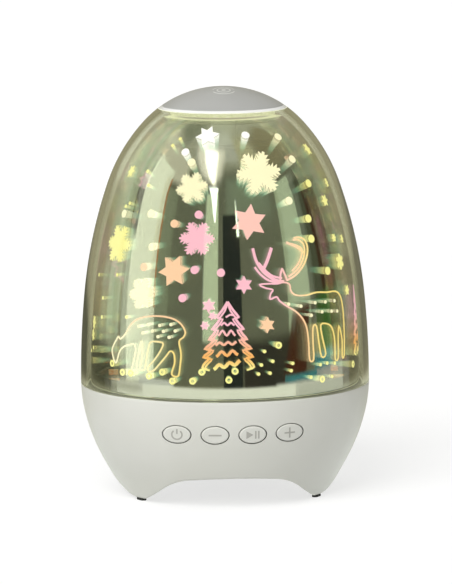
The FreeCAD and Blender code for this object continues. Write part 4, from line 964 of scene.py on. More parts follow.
@dataclass(frozen=True)
class BaseHull:
    """The moulded base: one wall with three arches, button sleeves and the sockets' ports."""

    wall: float = 2.6
    rim_wall: float = 1.1
    rebate_depth: float = 1.5
    edge: float = 0.9
    rows: int = 30
    edge_steps: int = 6
    steps: int = 360
    button_height: float = 31.0
    button_pitch: float = 14.7
    button_half: Point = (5.3, 3.5)
    button_gap: float = 0.35
    sleeve_wall: float = 1.1
    sleeve_back: float = -43.4
    button_holes_front: float = -60.0
    overlap: float = 1.0
    usb_port: tuple[Point, Point] = ((-4.8, 25.3), (4.8, 29.2))
    card_port: tuple[Point, Point] = ((-19.3, 25.3), (-6.7, 27.7))
    audio_place: Point = (12.5, 28.6)
    audio_radius: float = 3.2
    ports_inner: float = 43.0
    ports_outer: float = 62.0
    lip_code: float = 2.0
    last_share: float = 1.5
    code_reach: float = 100.0

    def button_places(self) -> list[float]:
        """How far across each button stands."""
        middle = (len(Icon) - 1) / 2
        return [self.button_pitch * (index - middle) for index in range(len(Icon))]

    def section(self) -> list[Point]:
        """The wall's section in code: offset inwards, and how far down.

        Returns:
            Pairs of an offset and a code. A code of 0 or less is measured down from the joint,
            one up to 1 is a share of the way to the lower edge, and one from 2 on is a height
            above that edge.
        """
        edge, lip, wall, rebate = self.edge, self.lip_code, self.wall, -self.rebate_depth
        shares = [math.sin(QUARTER_TURN * index / self.rows)
                  for index in range(1, self.rows + 1)]
        turns = [QUARTER_TURN * index / self.edge_steps
                 for index in range(1, self.edge_steps + 1)]
        return [(0.3, 0.0), (0.08, -0.08), (0.0, -0.3), (0.0, rebate),
                *((0.0, share) for share in shares),
                *((edge * (1 - math.cos(turn)), lip + edge * (1 - math.sin(turn)))
                  for turn in turns),
                *((wall - edge * (1 - math.sin(turn)), lip + edge * (1 - math.cos(turn)))
                  for turn in turns),
                *((wall, share) for share in reversed(shares[:-1])),
                (wall, rebate), (self.rim_wall, rebate), (self.rim_wall, -0.2),
                (self.rim_wall - 0.2, 0.0)]

    def place(self, code: Vector) -> Place:
        """Where a coded point of the wall lies.

        Args:
            code: The point of the spun code.
        Returns:
            Its place.
        """
        azimuth = math.atan2(code.x, -code.y)
        offset = math.hypot(code.x, code.y) - self.code_reach
        low = BASE.low(azimuth, offset)
        top = EGG.parting_height - self.rebate_depth
        if code.z > self.last_share:
            height = low + code.z - self.lip_code
        elif code.z > 0:
            height = top + (low + self.edge - top) * code.z
        else:
            height = EGG.parting_height + code.z
        radius = BASE.radius(height, offset)
        return radius * math.sin(azimuth), -radius * math.cos(azimuth), height

    def build(self) -> None:
        """Builds the base."""
        bm = spun([(self.code_reach + offset, code) for offset, code in self.section()],
                  self.steps)
        hull = object_from("base_hull", moved(bm, self.place), BASE_PLASTIC)
        applied(hull, self.tools())
        dress(hull, LAMP_BODY, "pale_plastic", "base_shell", sharp=32.0)

    def tools(self) -> list[tuple[Piece, str]]:
        """The sleeves to add and the holes to cut.

        Returns:
            Each tool with its operation.
        """
        half_x, half_z = self.button_half
        gap, grown = self.button_gap, self.button_gap + self.sleeve_wall
        places, overlap = self.button_places(), self.overlap
        sleeves = oval_rods("sleeves", places, self.button_height,
                            (half_x + grown, half_z + grown),
                            lambda x, z: -math.sqrt((BASE.radius(z, overlap)) ** 2 - x ** 2),
                            self.sleeve_back)
        holes = oval_rods("button_holes", places, self.button_height,
                          (half_x + gap, half_z + gap), lambda x, z: self.button_holes_front,
                          self.sleeve_back + overlap)
        ports = bmesh.new()
        for (left, low), (right, high) in (self.usb_port, self.card_port):
            block(ports, (left, self.ports_inner, low), (right, self.ports_outer, high))
        across, up = self.audio_place
        audio = oval_rods("audio_port", [across], up, (self.audio_radius,) * 2,
                          lambda x, z: self.ports_outer, self.ports_inner)
        return [(sleeves, "UNION"), (holes, "DIFFERENCE"),
                (object_from("port_blocks", ports), "DIFFERENCE"), (audio, "DIFFERENCE")]


@dataclass(frozen=True)
class PushKeys:
    """The four oval keys, each with a sign printed on its face."""

    hull: BaseHull
    proud: float = 0.3
    flange: float = 1.2
    flange_back: float = -42.4
    ink: float = 0.05
    stroke: float = 0.6
    cell: float = 0.6
    back_code: float = -50.0
    rear_code: float = -60.0

    def section(self) -> list[Point]:
        """The key's section in code: share of its size, and how far behind its face."""
        grown = 1.0 + self.flange / self.hull.button_half[0]
        return [(0.0, -0.04), (0.2, -0.035), (0.4, -0.02), (0.6, 0.0), (0.72, 0.02),
                (0.82, 0.03), (0.88, 0.02), (0.93, -0.04), (0.965, -0.14), (0.985, -0.28),
                (0.995, -0.5), (1.0, -0.8), (1.0, -3.0), (1.0, self.back_code),
                (grown, self.back_code), (grown, self.rear_code), (0.0, self.rear_code)]

    def face_point(self, across: float, up: float, out: float) -> Place:
        """A point that stands some way out of the base's outside."""
        radius = BASE.radius(up, 0.0)
        return across, -math.sqrt(max(radius ** 2 - across ** 2, 0.0)) - out, up

    def build(self) -> None:
        """Builds the keys."""
        half_x, half_z = self.hull.button_half
        fixed = {self.back_code: self.hull.sleeve_back, self.rear_code: self.flange_back}
        for icon, middle in zip(Icon, self.hull.button_places()):
            def place(code: Vector) -> Place:
                """Where a coded point of this key lies."""
                across = middle + code.x * half_x
                up = self.hull.button_height + code.y * half_z
                if code.z <= self.back_code:
                    return across, fixed[round(code.z)], up
                return self.face_point(across, up, self.proud + code.z)

            name = icon.value
            key = moved(spun(self.section(), OVAL_STEPS, closed=False), place)
            dress(object_from(f"key_{name}", key, KEY_PLASTIC), f"{name}_key", "pale_plastic",
                  f"button_{name}", sharp=50.0)
            sign = object_from(f"sign_{name}", self.sign(icon, middle), INK)
            dress(sign, f"{name}_key", "grey_plastic")

    def sign(self, icon: Icon, middle: float) -> Mesh:
        """Draws the sign on one key.

        Args:
            icon: Which sign.
            middle: Where the key stands to the side.
        Returns:
            The sign, laid on the key's face.
        """
        bm = bmesh.new()
        stroke = self.stroke
        half = stroke / 2
        if icon is Icon.POWER:
            ribbon(bm, arc_line(1.95, 130, 410), stroke)
            ribbon(bm, [(0, 0.3), (0, 0.9), (0, 1.5), (0, 2.3)], stroke)
        elif icon is Icon.MINUS:
            ribbon(bm, [(-2.5 + 0.5 * index, 0.0) for index in range(11)], stroke)
        elif icon is Icon.PLUS:
            long = 2.1
            polygon(bm, [(-half, -long), (half, -long), (half, -half), (long, -half),
                         (long, half), (half, half), (half, long), (-half, long),
                         (-half, half), (-long, half), (-long, -half), (-half, -half)])
            diced(bm, self.cell)
        else:
            high = 1.6
            polygon(bm, [(-2.5, -high), (0.2, 0.0), (-2.5, high)])
            for bar in (1.15, 2.35):
                polygon(bm, [(bar - half, -high), (bar + half, -high), (bar + half, high),
                             (bar - half, high)])
            diced(bm, self.cell)
        return moved(thickened(bm, (self.ink * 2,)), lambda flat: self.face_point(
            middle + flat.x, self.hull.button_height + flat.y, self.proud + self.ink + flat.z))


# The dome, the mirrors and the top

@dataclass(frozen=True)
class Dome:
    """The clear dome with its flat seat and collar."""

    wall: float = 2.0
    seat: float = 153.67
    seat_thickness: float = 1.2
    collar_outer: float = 20.7
    collar_inner: float = 19.2
    collar_foot: float = 150.97
    skirt_outer: float = 56.3
    skirt_foot: float = 42.7
    steps: int = 256
    edge: float = 0.3
    collar_edge: float = 0.35
    skirt_edge: float = 0.2
    joint_edge: float = 0.15
    inside_low: float = 0.4
    inside_high: float = 0.2
    near: float = 0.2
    flat_normal: float = 0.9

    def build(self) -> None:
        """Builds the dome."""
        parting, edge, collar = EGG.parting_height, self.edge, self.collar_edge
        under = self.seat - self.seat_thickness
        inside = EGG.run(self.wall, self.skirt_foot + self.inside_low,
                         under - self.inside_high)
        bm = turned([
            (EGG.at(parting, 0.0)[0], parting, self.joint_edge),
            *EGG.run(0.0, parting + edge, self.seat - edge),
            (EGG.at(self.seat, 0.0)[0], self.seat, edge),
            (self.collar_inner, self.seat, collar), (self.collar_inner, self.collar_foot, collar),
            (self.collar_outer, self.collar_foot, collar), (self.collar_outer, under, edge),
            (EGG.at(under, self.wall)[0], under, edge), *reversed(inside),
            (EGG.waist_radius - self.wall, self.skirt_foot, self.skirt_edge),
            (self.skirt_outer, self.skirt_foot, self.skirt_edge),
            (self.skirt_outer, parting)], self.steps)
        # Seat, collar and skirt faces take the pale seal finish, whose glow is a painted highlight
        for face in bm.faces:
            middle = face.calc_center_median() / MM
            flat = abs(face.normal.z) > self.flat_normal
            collared = math.hypot(middle.x, middle.y) < self.collar_outer + edge
            seated = middle.z > self.collar_foot - self.near and (flat or collared)
            face.material_index = int(seated or middle.z < parting)
        dress(object_from("dome", bm, DOME_ACRYLIC, PALE_PAINTED_GLOW), LAMP_BODY, "clear_dome",
              "clear_dome")


@dataclass(frozen=True)
class MirrorShells:
    """The half mirror and the dark reflector behind it."""

    film_offset: float = 4.0
    film_wall: float = 1.2
    film_top: float = 150.17
    reflector_offset: float = 15.2
    reflector_low: float = 45.8
    reflector_top: float = 138.97
    hole: float = 5.3
    steps: int = 240
    edge: float = 0.3
    near: float = 0.2
    upward_normal: float = 0.5
    flat_normal: float = 0.98

    def shell(self, offset: float, low: float, top: float) -> Mesh:
        """A thin shell inside the egg with a flat top and a hole in its middle.

        Args:
            offset: How far inside the egg.
            low: The height of its foot.
            top: The height of its top.
        Returns:
            The shell.
        """
        under, inner, edge = top - self.film_wall, offset + self.film_wall, self.edge
        return turned([*EGG.run(offset, low, top - edge), (EGG.at(top, offset)[0], top, edge),
                       (self.hole, top), (self.hole, under),
                       (EGG.at(under, inner)[0], under, edge),
                       *reversed(EGG.run(inner, low, under - edge))], self.steps)

    def build(self) -> None:
        """Builds both shells."""
        bm = self.shell(self.film_offset, EGG.parting_height, self.film_top)
        for face in bm.faces:
            middle, normal = face.calc_center_median(), face.normal
            outwards = normal.x * middle.x + normal.y * middle.y > 0
            face.material_index = 0 if outwards or normal.z > self.upward_normal else 1
            # The flat top takes the pale seal finish, whose glow is a painted highlight
            if normal.z > self.flat_normal and middle.z > (self.film_top - self.near) * MM:
                face.material_index = 2
        dress(object_from("half_mirror", bm, MIRROR_FILM, FILM_INSIDE, PALE_PAINTED_GLOW), LAMP_BODY,
              "dark_mirror", "mirror_shell")
        bm = self.shell(self.reflector_offset, self.reflector_low, self.reflector_top)
        dress(object_from("back_reflector", bm, REFLECTOR), LAMP_BODY, "reflector",
              "inner_reflector")


@dataclass(frozen=True)
class TopCap:
    """The touch cap on its white ring, with a plain touch sign."""

    ring_low: float = 153.67
    ring_top: float = 154.57
    ring_inner: float = 17.6
    skirt_outer: float = 19.1
    skirt_foot: float = 151.37
    skirt_edge: float = 0.2
    ring_low_edge: float = 0.25
    ring_top_edge: float = 0.2
    wall: float = 1.6
    top: float = 162.07
    past_top: float = 1.0
    foot_width: float = 1.2
    foot_edge: float = 0.45
    outside_step: float = 0.6
    inside_step: float = 1.2
    steps: int = 200
    sign_out: float = 8.0
    sign_stroke: float = 0.5
    sign_rings: Point = (4.4, 2.6)
    sign_ring_turn: float = 140.0
    sign_dot: float = 0.9
    ink: float = 0.05

    def build(self) -> None:
        """Builds the ring, the cap and the sign."""
        rim, edge = EGG.at(self.ring_top, 0.0)[0], self.skirt_edge
        ring = turned([
            (EGG.at(self.ring_low, 0.0)[0], self.ring_low, self.ring_low_edge),
            (rim, self.ring_top, self.ring_top_edge),
            (self.ring_inner, self.ring_top), (self.ring_inner, self.skirt_foot, edge),
            (self.skirt_outer, self.skirt_foot, edge), (self.skirt_outer, self.ring_low)],
            self.steps)
        dress(object_from("white_ring", ring, RING_PLASTIC), LAMP_BODY, "white_plastic",
              "cap_ring")
        end = self.top + self.past_top
        outside = EGG.run(0.0, self.ring_top + 0.5, end, self.outside_step)
        inside = EGG.run(self.wall, self.ring_top + 0.1, end, self.inside_step)
        for line in (outside, inside):
            line[-1] = (0.0, line[-1][1])
        cap = turned([(rim - self.foot_width, self.ring_top),
                      (rim, self.ring_top, self.foot_edge), *outside, *reversed(inside)],
                     self.steps)
        dress(object_from("cap", cap, CAP_PLASTIC), LAMP_BODY, "grey_plastic", "touch_cap")
        dress(object_from("touch_sign", self.sign(), PALE_INK), LAMP_BODY, "grey_plastic")

    def sign(self) -> Mesh:
        """Draws the touch sign: a dot in a ring and a broken ring, printed on the cap.

        Returns:
            The sign, laid on the cap.
        """
        bm = bmesh.new()
        outer, inner = self.sign_rings
        for first in (200, 20):
            ribbon(bm, arc_line(outer, first, first + self.sign_ring_turn), self.sign_stroke)
        ribbon(bm, circle(inner, 24), self.sign_stroke, True)
        polygon(bm, circle(self.sign_dot))
        diced(bm, 1.0)
        _, up, radius, _, _ = EGG.pieces(0.0)[-1]

        def place(flat: Vector) -> Place:
            """Lays a flat point of the sign on the cap's ball."""
            east, north = flat.x, flat.y - self.sign_out
            reach = math.hypot(east, north)
            ball = radius + self.ink + flat.z
            return (east * ball / radius, north * ball / radius,
                    up + math.sqrt(radius ** 2 - reach ** 2) * ball / radius)

        return moved(thickened(bm, (self.ink * 2,)), place)


# The figures etched in the half mirror, by azimuth, height, size, turn and colour

FLAKES = (
    (17.8, 131.3, 18.4, 5, CREAM), (-20.7, 126.1, 12.8, 12, CREAM),
    (-61.6, 102.6, 15.5, 0, YELLOW), (-16.2, 106.9, 14.0, 0, PINK),
    (-42.0, 84.9, 12.6, 10, CREAM), (61.1, 94.2, 6.4, 30, YELLOW),
    (142.0, 118.0, 15.0, 8, YELLOW), (165.0, 104.0, 13.0, 20, PINK),
    (-152.0, 121.0, 16.0, 0, CREAM), (-146.0, 96.0, 12.0, 14, YELLOW),
    (138.0, 90.0, 11.0, 4, CREAM), (-178.0, 134.0, 11.0, 4, YELLOW))
STARS = (
    (-15.1, 145.0, 9.4, 12, WHITE), (9.2, 113.1, 14.4, 20, between(PINK, PEACH, 0.5)),
    (-26.5, 94.4, 12.8, 8, PEACH), (5.3, 89.2, 7.0, 28, PINK), (-10.1, 81.3, 5.6, 30, PINK),
    (15.0, 73.4, 6.4, 26, PEACH), (-68.4, 130.0, 5.4, 10, YELLOW),
    (66.7, 137.6, 5.4, 0, YELLOW), (60.2, 118.2, 5.0, 0, YELLOW), (71.4, 124.3, 4.0, 0, YELLOW),
    (59.7, 103.7, 3.6, 0, YELLOW), (69.4, 102.4, 3.6, 0, YELLOW), (64.5, 82.7, 4.4, 0, YELLOW),
    (-78.9, 70.0, 5.6, 0, YELLOW), (-79.7, 65.0, 5.0, 20, YELLOW), (-8.5, 77.4, 3.6, 15, PINK),
    (-11.8, 73.6, 3.8, 0, PINK), (136.0, 103.0, 9.0, 0, PEACH), (160.0, 132.0, 8.0, 14, PINK),
    (180.0, 88.0, 9.0, 0, PEACH), (-138.0, 108.0, 8.0, 10, YELLOW),
    (-134.0, 122.0, 8.0, 22, PINK), (-165.0, 92.0, 6.0, 0, YELLOW), (150.0, 92.0, 6.0, 0, PINK))
COMETS = (
    (14.0, 145.0, WHITE), (-28.6, 138.9, WHITE), (-22.9, 135.3, CREAM), (41.0, 143.5, CREAM),
    (43.6, 135.1, CREAM), (49.5, 125.6, YELLOW), (32.4, 120.1, CREAM), (42.5, 112.6, YELLOW),
    (41.9, 104.9, YELLOW), (49.5, 91.8, YELLOW), (-61.9, 114.2, CREAM), (-42.2, 115.5, CREAM),
    (-28.0, 112.3, PEACH), (-15.8, 116.0, PINK), (-38.6, 103.0, CREAM), (-41.9, 95.1, PEACH),
    (-16.6, 95.0, PINK), (-4.8, 94.0, PINK), (-21.7, 84.1, PINK))
COMETS_BEHIND = (
    (134, 130), (137, 121), (141, 110), (145, 86), (139, 72), (151, 108), (153, 96), (155, 84),
    (158, 122), (172, 116), (185, 126), (196, 98), (204, 110), (212, 132), (217, 118),
    (221, 92), (224, 104), (209, 124), (214, 98), (200, 132))
SMALL_COMETS = (
    (-77.6, 88.9), (-58.5, 90.8), (-69.0, 80.7), (-68.6, 73.2), (-49.8, 75.1), (-78.0, 60.0),
    (-84.0, 58.0), (13.4, 63.2), (11.9, 58.0), (16.9, 59.2), (10.6, 54.5), (15.6, 54.6),
    (26.0, 57.8), (25.2, 55.0), (35.0, 51.6), (40.4, 56.0), (44.4, 56.2), (49.4, 55.6),
    (47.4, 50.6), (-59.0, 118.4), (-62.0, 117.0), (-48.0, 126.0), (-52.0, 131.0),
    (-40.0, 141.0), (-36.0, 143.5))
RINGS = (
    (19.7, 65.3), (0.8, 55.9), (-1.8, 52.5), (-13.0, 55.6), (-16.9, 52.0), (-25.7, 51.7),
    (-30.3, 55.0), (-36.7, 53.0), (-46.4, 53.4), (-51.3, 53.3), (-58.2, 56.1), (41.3, 50.2),
    (65.6, 53.2), (95.0, 54.0), (112.0, 52.0), (131.0, 55.0), (162.0, 53.0), (178.0, 51.5),
    (210.0, 54.0), (228.0, 52.0), (250.0, 55.0), (268.0, 53.0))
# Outlines of the figures, from the middle of their feet
FLAKE_ARM = ((0.36, 0.20), (0.59, 0.305), (0.55, 0.16), (0.78, 0.345), (0.70, 0.14),
             (0.94, 0.245), (0.86, 0.07), (1.0, 0.06))
DOE = (
    (-18.4, 5.6), (-17.2, 3.6), (-16.0, 3.4), (-14.4, 7.4), (-12.4, 9.6), (-9.6, 10.8),
    (-6.4, 11.4), (-5.4, 9.4), (-6.0, 6.2), (-6.8, 3.0), (-7.2, 1.4), (-5.0, 1.4), (-4.6, 4.4),
    (-3.8, 8.0), (-3.0, 12.2), (-2.2, 12.4), (-2.0, 8.0), (-2.6, 4.4), (-3.0, 1.8), (-1.0, 1.8),
    (-0.2, 5.0), (0.6, 9.6), (1.8, 12.8), (5.2, 13.2), (7.4, 12.6), (6.2, 9.6), (3.6, 6.0),
    (0.8, 3.0), (1.0, 1.4), (3.2, 1.8), (5.6, 4.2), (8.6, 7.6), (10.4, 9.8), (12.0, 9.0),
    (12.4, 5.4), (11.2, 0.9), (13.8, 0.2), (14.6, 4.0), (15.0, 9.0), (14.2, 13.8),
    (16.0, 15.6), (16.6, 17.8), (14.6, 20.8), (11.0, 22.6), (5.4, 23.2), (-0.6, 22.6),
    (-5.6, 21.0), (-8.6, 18.6), (-11.2, 15.0), (-13.8, 12.8), (-15.2, 13.6), (-16.2, 12.4),
    (-17.8, 10.4), (-19.0, 8.0))
DOE_SPOTS = (
    (-4.1, 18.6), (0.3, 19.6), (5.6, 19.6), (10.4, 20.2), (-2.0, 16.2), (2.4, 17.2),
    (7.3, 17.4), (12.3, 17.8), (5.0, 15.2), (9.8, 15.2))
STAG = (
    (-3.4, 32.0), (-3.0, 29.4), (-0.6, 27.6), (4.4, 27.2), (10.0, 27.8), (16.0, 27.2),
    (21.6, 27.0), (25.0, 24.8), (26.2, 20.0), (26.0, 12.0), (25.0, 1.6), (23.4, 1.2),
    (23.8, 8.0), (22.0, 13.4), (21.0, 8.0), (20.4, 0.8), (18.4, 0.8), (18.6, 8.0),
    (17.4, 13.0), (14.6, 15.0), (10.8, 15.0), (11.4, 9.6), (12.8, 3.4), (10.4, 2.6),
    (9.2, 8.6), (8.4, 14.8), (6.6, 14.6), (6.2, 9.0), (6.2, 2.0), (4.2, 2.0), (4.0, 9.0),
    (3.4, 14.6), (1.6, 18.4), (-1.4, 21.4), (-5.4, 23.8), (-8.4, 26.0), (-9.6, 27.6),
    (-12.4, 26.8), (-12.0, 29.0), (-11.0, 30.4), (-14.0, 31.2), (-16.6, 32.6), (-12.6, 32.8),
    (-8.8, 32.6), (-6.0, 33.0))
STAG_BEAMS = (
    (((-5.8, 33.2), (-9.6, 34.0), (-13.2, 36.2), (-15.6, 38.6), (-17.6, 42.2), (-18.6, 46.6)),
     1.15),
    (((-6.6, 34.6), (-10.6, 35.6), (-13.6, 37.8), (-16.4, 41.0)), 0.8),
    (((-8.0, 33.0), (-12.4, 34.0), (-16.0, 36.6), (-18.2, 39.4)), 0.8),
    (((-14.6, 38.4), (-12.6, 41.6), (-10.2, 46.4)), 1.3),
    (((-7.6, 33.4), (-7.0, 36.6), (-6.0, 38.4)), 0.75),
    (((-4.4, 33.6), (-5.2, 36.0), (-6.2, 38.2)), 0.75),
    (((-4.6, 33.6), (0.0, 35.4), (4.6, 39.0), (7.2, 42.8), (7.9, 46.0), (6.6, 48.6),
      (3.6, 49.6), (1.2, 49.4)), 0.75),
    (((-3.6, 35.0), (0.8, 37.2), (4.2, 40.6), (6.0, 44.2), (5.8, 47.0), (3.4, 48.6),
      (0.6, 48.8)), 0.7),
    (((-1.6, 37.0), (1.6, 39.4), (4.0, 42.6), (4.6, 45.2), (1.4, 46.8), (-1.6, 47.6)), 0.7),
    (((5.2, 43.6), (1.6, 46.2), (-2.8, 48.0)), 0.9))
STAG_SPOTS = (
    (-4.3, 24.4), (1.2, 23.2), (8.3, 23.9), (14.0, 23.6), (19.8, 23.4), (6.0, 19.2),
    (11.8, 20.0), (17.4, 19.6), (21.2, 19.2))
TREE_SIDE = (
    (0.0, 26.9), (-2.2, 23.6), (-4.4, 20.8), (-3.0, 20.6), (-4.4, 18.4), (-6.3, 16.1),
    (-4.7, 16.3), (-5.8, 14.2), (-7.6, 12.2), (-5.3, 12.4), (-7.0, 10.4), (-9.2, 8.6),
    (-6.6, 8.4), (-8.0, 6.9), (-9.8, 5.4), (-7.2, 5.0), (-8.8, 3.4), (-10.0, 1.4), (-8.2, 0.7))
# A garland's first and last place across, its height, rise, swing, humps and width
GARLANDS = (
    (-0.8, 2.6, 21.2, 0.8, 0.25, 1, 0.7), (-2.8, 2.6, 18.3, 0.0, 0.5, 2, 0.75),
    (-3.8, 2.9, 14.8, 0.0, 1.0, 2, 0.85), (-4.9, 3.3, 10.6, 0.3, 0.5, 2.5, 0.95),
    (-4.6, 3.8, 6.6, 0.6, 0.9, 2, 1.15), (-5.6, 4.6, 1.4, 2.0, 0.7, 2.5, 1.35))


@dataclass(frozen=True)
class Figures:
    """Lit figures all round the half mirror, each with a glowing trail towards the axis that is a
    painted reflection of the figure between the mirrors.

    A figure is drawn flat in millimetres, grown inwards as a closed solid and wrapped on the
    mirror at an azimuth and a height.
    """

    film_offset: float = 4.0
    proud: float = 0.12
    trail: float = 9.4
    shares: tuple[float, ...] = (0.03, 0.15, 0.35, 0.65, 1.0)
    focus: float = 104.0
    far_azimuth: float = 55.0
    arms: int = 6
    star_waist: float = 0.55
    least_cell: float = 1.2
    comet_radius: float = 1.6
    small_comet_radius: float = 0.7
    small_comet_share: float = 0.6
    comet_taper: float = 0.6
    spot_radius: float = 0.68
    ring_radius: float = 1.0
    ring_width: float = 0.75
    ring_taper: float = 0.5
    line_veil: float = 0.14
    line_width: float = 0.62
    line_taper: float = 0.97
    doe_foot: float = 53.5
    stag_foot: float = 56.5
    tree_foot: float = 56.0

    def flake(self, size: float, turn: float) -> list[Point]:
        """The outline of a six-armed snow flake."""
        side = [(a, -b) for a, b in FLAKE_ARM] + list(reversed(FLAKE_ARM[1:]))
        axes = [math.radians(60 * arm + turn) for arm in range(self.arms)]
        return [(size / 2 * (a * math.cos(axis) - b * math.sin(axis)),
                 size / 2 * (a * math.sin(axis) + b * math.cos(axis)))
                for axis in axes for a, b in side]

    def star(self, size: float, turn: float) -> list[Point]:
        """The outline of a six-pointed star."""
        angles = [math.radians(30.0 * index + turn) for index in range(self.arms * 2)]
        reaches = [size / 2, size / 2 * self.star_waist] * self.arms
        return [(reach * math.cos(angle), reach * math.sin(angle))
                for reach, angle in zip(reaches, angles)]

    def wrap(self, bm: Mesh, azimuth: float, height: float, colour: Tint, taper: float,
             veil: float = 1.0, share: float = 1.0) -> Mesh:
        """Grows a drawing inwards, wraps it on the mirror and writes its attributes.

        Args:
            bm: The flat drawing.
            azimuth: Where its middle lies, in degrees from the front.
            height: The height of its middle.
            colour: One colour, or a function that gives it for a point of the drawing.
            taper: The size of the trail's end over the drawing's.
            veil: How thick its trail looks.
            share: How much of the full trail it has.
        Returns:
            The figure.
        """
        trail = self.trail * share
        thickened(bm, [trail * step for step in self.shares], taper)
        depth_layer = bm.verts.layers.float.new("depth")
        glow_layer = bm.verts.layers.float_color.new("glow")
        radius, lean = EGG.at(height, self.film_offset)
        for vert in bm.verts:
            east, north, depth = vert.co.x, vert.co.y, -vert.co.z
            shown = colour(east, north) if callable(colour) else colour
            vert[depth_layer] = depth / trail
            vert[glow_layer] = (*shown[:3], veil)
            up = height + north * math.cos(lean)
            reach, slope = EGG.at(up, self.film_offset)
            turn = math.radians(azimuth) + east / radius
            if depth > 0:
                # The trails, painted reflections, run towards the axis, the upper ones down to one
                # height on it
                drop = max(up - self.focus, 0.0)
                inwards = depth / math.hypot(reach, drop)
                reach -= reach * inwards
                up -= drop * inwards
            else:
                reach += self.proud * math.cos(slope)
                up += self.proud * math.sin(slope)
            vert.co = Vector((reach * math.sin(turn), -reach * math.cos(turn), up)) * MM
        return bm

    def collect(self, name: str, parts: Iterator[Mesh]) -> None:
        """Joins figures into one piece.

        Args:
            name: What the figures are.
            parts: Their meshes.
        """
        whole = bmesh.new()
        for part in parts:
            mesh = bpy.data.meshes.new("part")
            part.to_mesh(mesh)
            part.free()
            whole.from_mesh(mesh)
            bpy.data.meshes.remove(mesh)
        dress(object_from(f"etched_{name}", whole, GLOW), LAMP_BODY, "light_element")

    def build(self) -> None:
        """Builds every figure."""
        self.collect("flakes", self.filled(FLAKES, self.flake, cells=9, far_share=0.6,
                                           taper=0.86))
        self.collect("stars", self.filled(STARS, self.star, cells=6, far_share=0.3, taper=0.8))
        self.collect("comets", self.comets())
        self.collect("rings", self.rings())
        for name, azimuth, sign in (("doe", -38.0, 1), ("doe_behind", 150.0, -1)):
            self.collect(name, self.doe(azimuth, sign))
        for name, azimuth, sign in (("stag", 30.0, 1), ("stag_behind", -136.0, -1)):
            self.collect(name, self.stag(azimuth, sign))
        for name, azimuth in (("tree", -2.0), ("tree_right", 78.5), ("tree_behind", 192.0)):
            self.collect(name, self.tree(azimuth))

    def filled(self, rows: Sequence[tuple], draw: Callable[[float, float], list[Point]],
               cells: int, far_share: float, taper: float) -> Iterator[Mesh]:
        """Filled figures, whose trails are shorter far round the sides.

        Args:
            rows: Azimuth, height, size, turn and colour of each.
            draw: Gives a figure's outline for a size and a turn.
            cells: How many cells the largest are cut into across.
            far_share: How much of the full trail the far ones have.
            taper: The size of a trail's end over the drawing's.
        Returns:
            The figures.
        """
        for azimuth, height, size, turn, colour in rows:
            bm = bmesh.new()
            polygon(bm, draw(size, turn))
            diced(bm, max(self.least_cell, size / cells))
            share = far_share if abs(azimuth) > self.far_azimuth else 1.0
            yield self.wrap(bm, azimuth, height, colour, taper, share=share)

    def comets(self) -> Iterator[Mesh]:
        """The dots with long trails."""
        behind = [(azimuth, height, YELLOW if (azimuth + height) % 2 else PEACH)
                  for azimuth, height in COMETS_BEHIND]
        for azimuth, height, colour in [*COMETS, *behind]:
            yield self.comet(azimuth, height, colour, self.comet_radius)
        for azimuth, height in SMALL_COMETS:
            yield self.comet(azimuth, height, YELLOW, self.small_comet_radius,
                             self.small_comet_share)

    def comet(self, azimuth: float, height: float, colour: Colour, radius: float,
              share: float = 1.0) -> Mesh:
        """One dot with its trail.

        Args:
            azimuth: Where it lies, in degrees from the front.
            height: Its height.
            colour: Its colour.
            radius: Its radius.
            share: How much of the full trail it has.
        Returns:
            The dot.
        """
        bm = bmesh.new()
        polygon(bm, circle(radius))
        return self.wrap(bm, azimuth, height, colour, self.comet_taper, share=share)

    def rings(self) -> Iterator[Mesh]:
        """The small rings on the ground."""
        for azimuth, height in RINGS:
            bm = bmesh.new()
            ribbon(bm, circle(self.ring_radius, 20), self.ring_width, True)
            yield self.wrap(bm, azimuth, height, YELLOW, self.ring_taper)

    def outline(self, line: Sequence[Point], azimuth: float, height: float, width: float,
                colour: Callable[[float, float], Colour], per_span: int,
                closed: bool = False, sign: int = 1) -> Mesh:
        """Draws one glowing line of a figure.

        Args:
            line: The points that it passes.
            azimuth: Where the figure's middle lies, in degrees from the front.
            height: The height of its feet.
            width: The line's width.
            colour: Gives the colour for a point of the drawing.
            per_span: How many pieces lie between two points.
            closed: Whether it comes back to its start.
            sign: Minus one where the figure is mirrored.
        Returns:
            The line with its trail.
        """
        bm = bmesh.new()
        ribbon(bm, smooth_line([(sign * u, v) for u, v in line], closed, per_span), width, closed)
        return self.wrap(bm, azimuth, height, lambda u, v: colour(sign * u, v),
                         self.line_taper, self.line_veil)

    def spots(self, places: Sequence[Point], azimuth: float, height: float,
              sign: int) -> Iterator[Mesh]:
        """The short dashes on an animal's coat."""
        for u, v in places:
            shift = math.degrees(u / EGG.at(height + v, self.film_offset)[0])
            yield self.comet(azimuth + sign * shift, height + v, CREAM, self.spot_radius)

    def doe(self, azimuth: float, sign: int) -> Iterator[Mesh]:
        """A grazing doe.

        Args:
            azimuth: Where its middle lies, in degrees from the front.
            sign: Minus one where it is mirrored.
        Returns:
            Its line and its spots.
        """
        def warmth(u: float, v: float) -> Colour:
            """Cream at the muzzle, golden behind and peach on the back."""
            return between(between(CREAM, GOLD, (u + 4.0) / 16.0), PEACH, (v - 12.0) / 12.0)

        yield self.outline(DOE, azimuth, self.doe_foot, self.line_width, warmth, 4, True, sign)
        yield from self.spots(DOE_SPOTS, azimuth, self.doe_foot, sign)

    def stag(self, azimuth: float, sign: int) -> Iterator[Mesh]:
        """A standing stag with its head turned to its side and wide antlers.

        Args:
            azimuth: Where its middle lies, in degrees from the front.
            sign: Minus one where it is mirrored.
        Returns:
            Its lines and its spots.
        """
        def warmth(u: float, v: float) -> Colour:
            """Pink at the muzzle and antler tips, golden over the body."""
            return between(between(PINK, PEACH, (u + 9.0) / 8.0), GOLD, (u - 1.0) / 8.0)

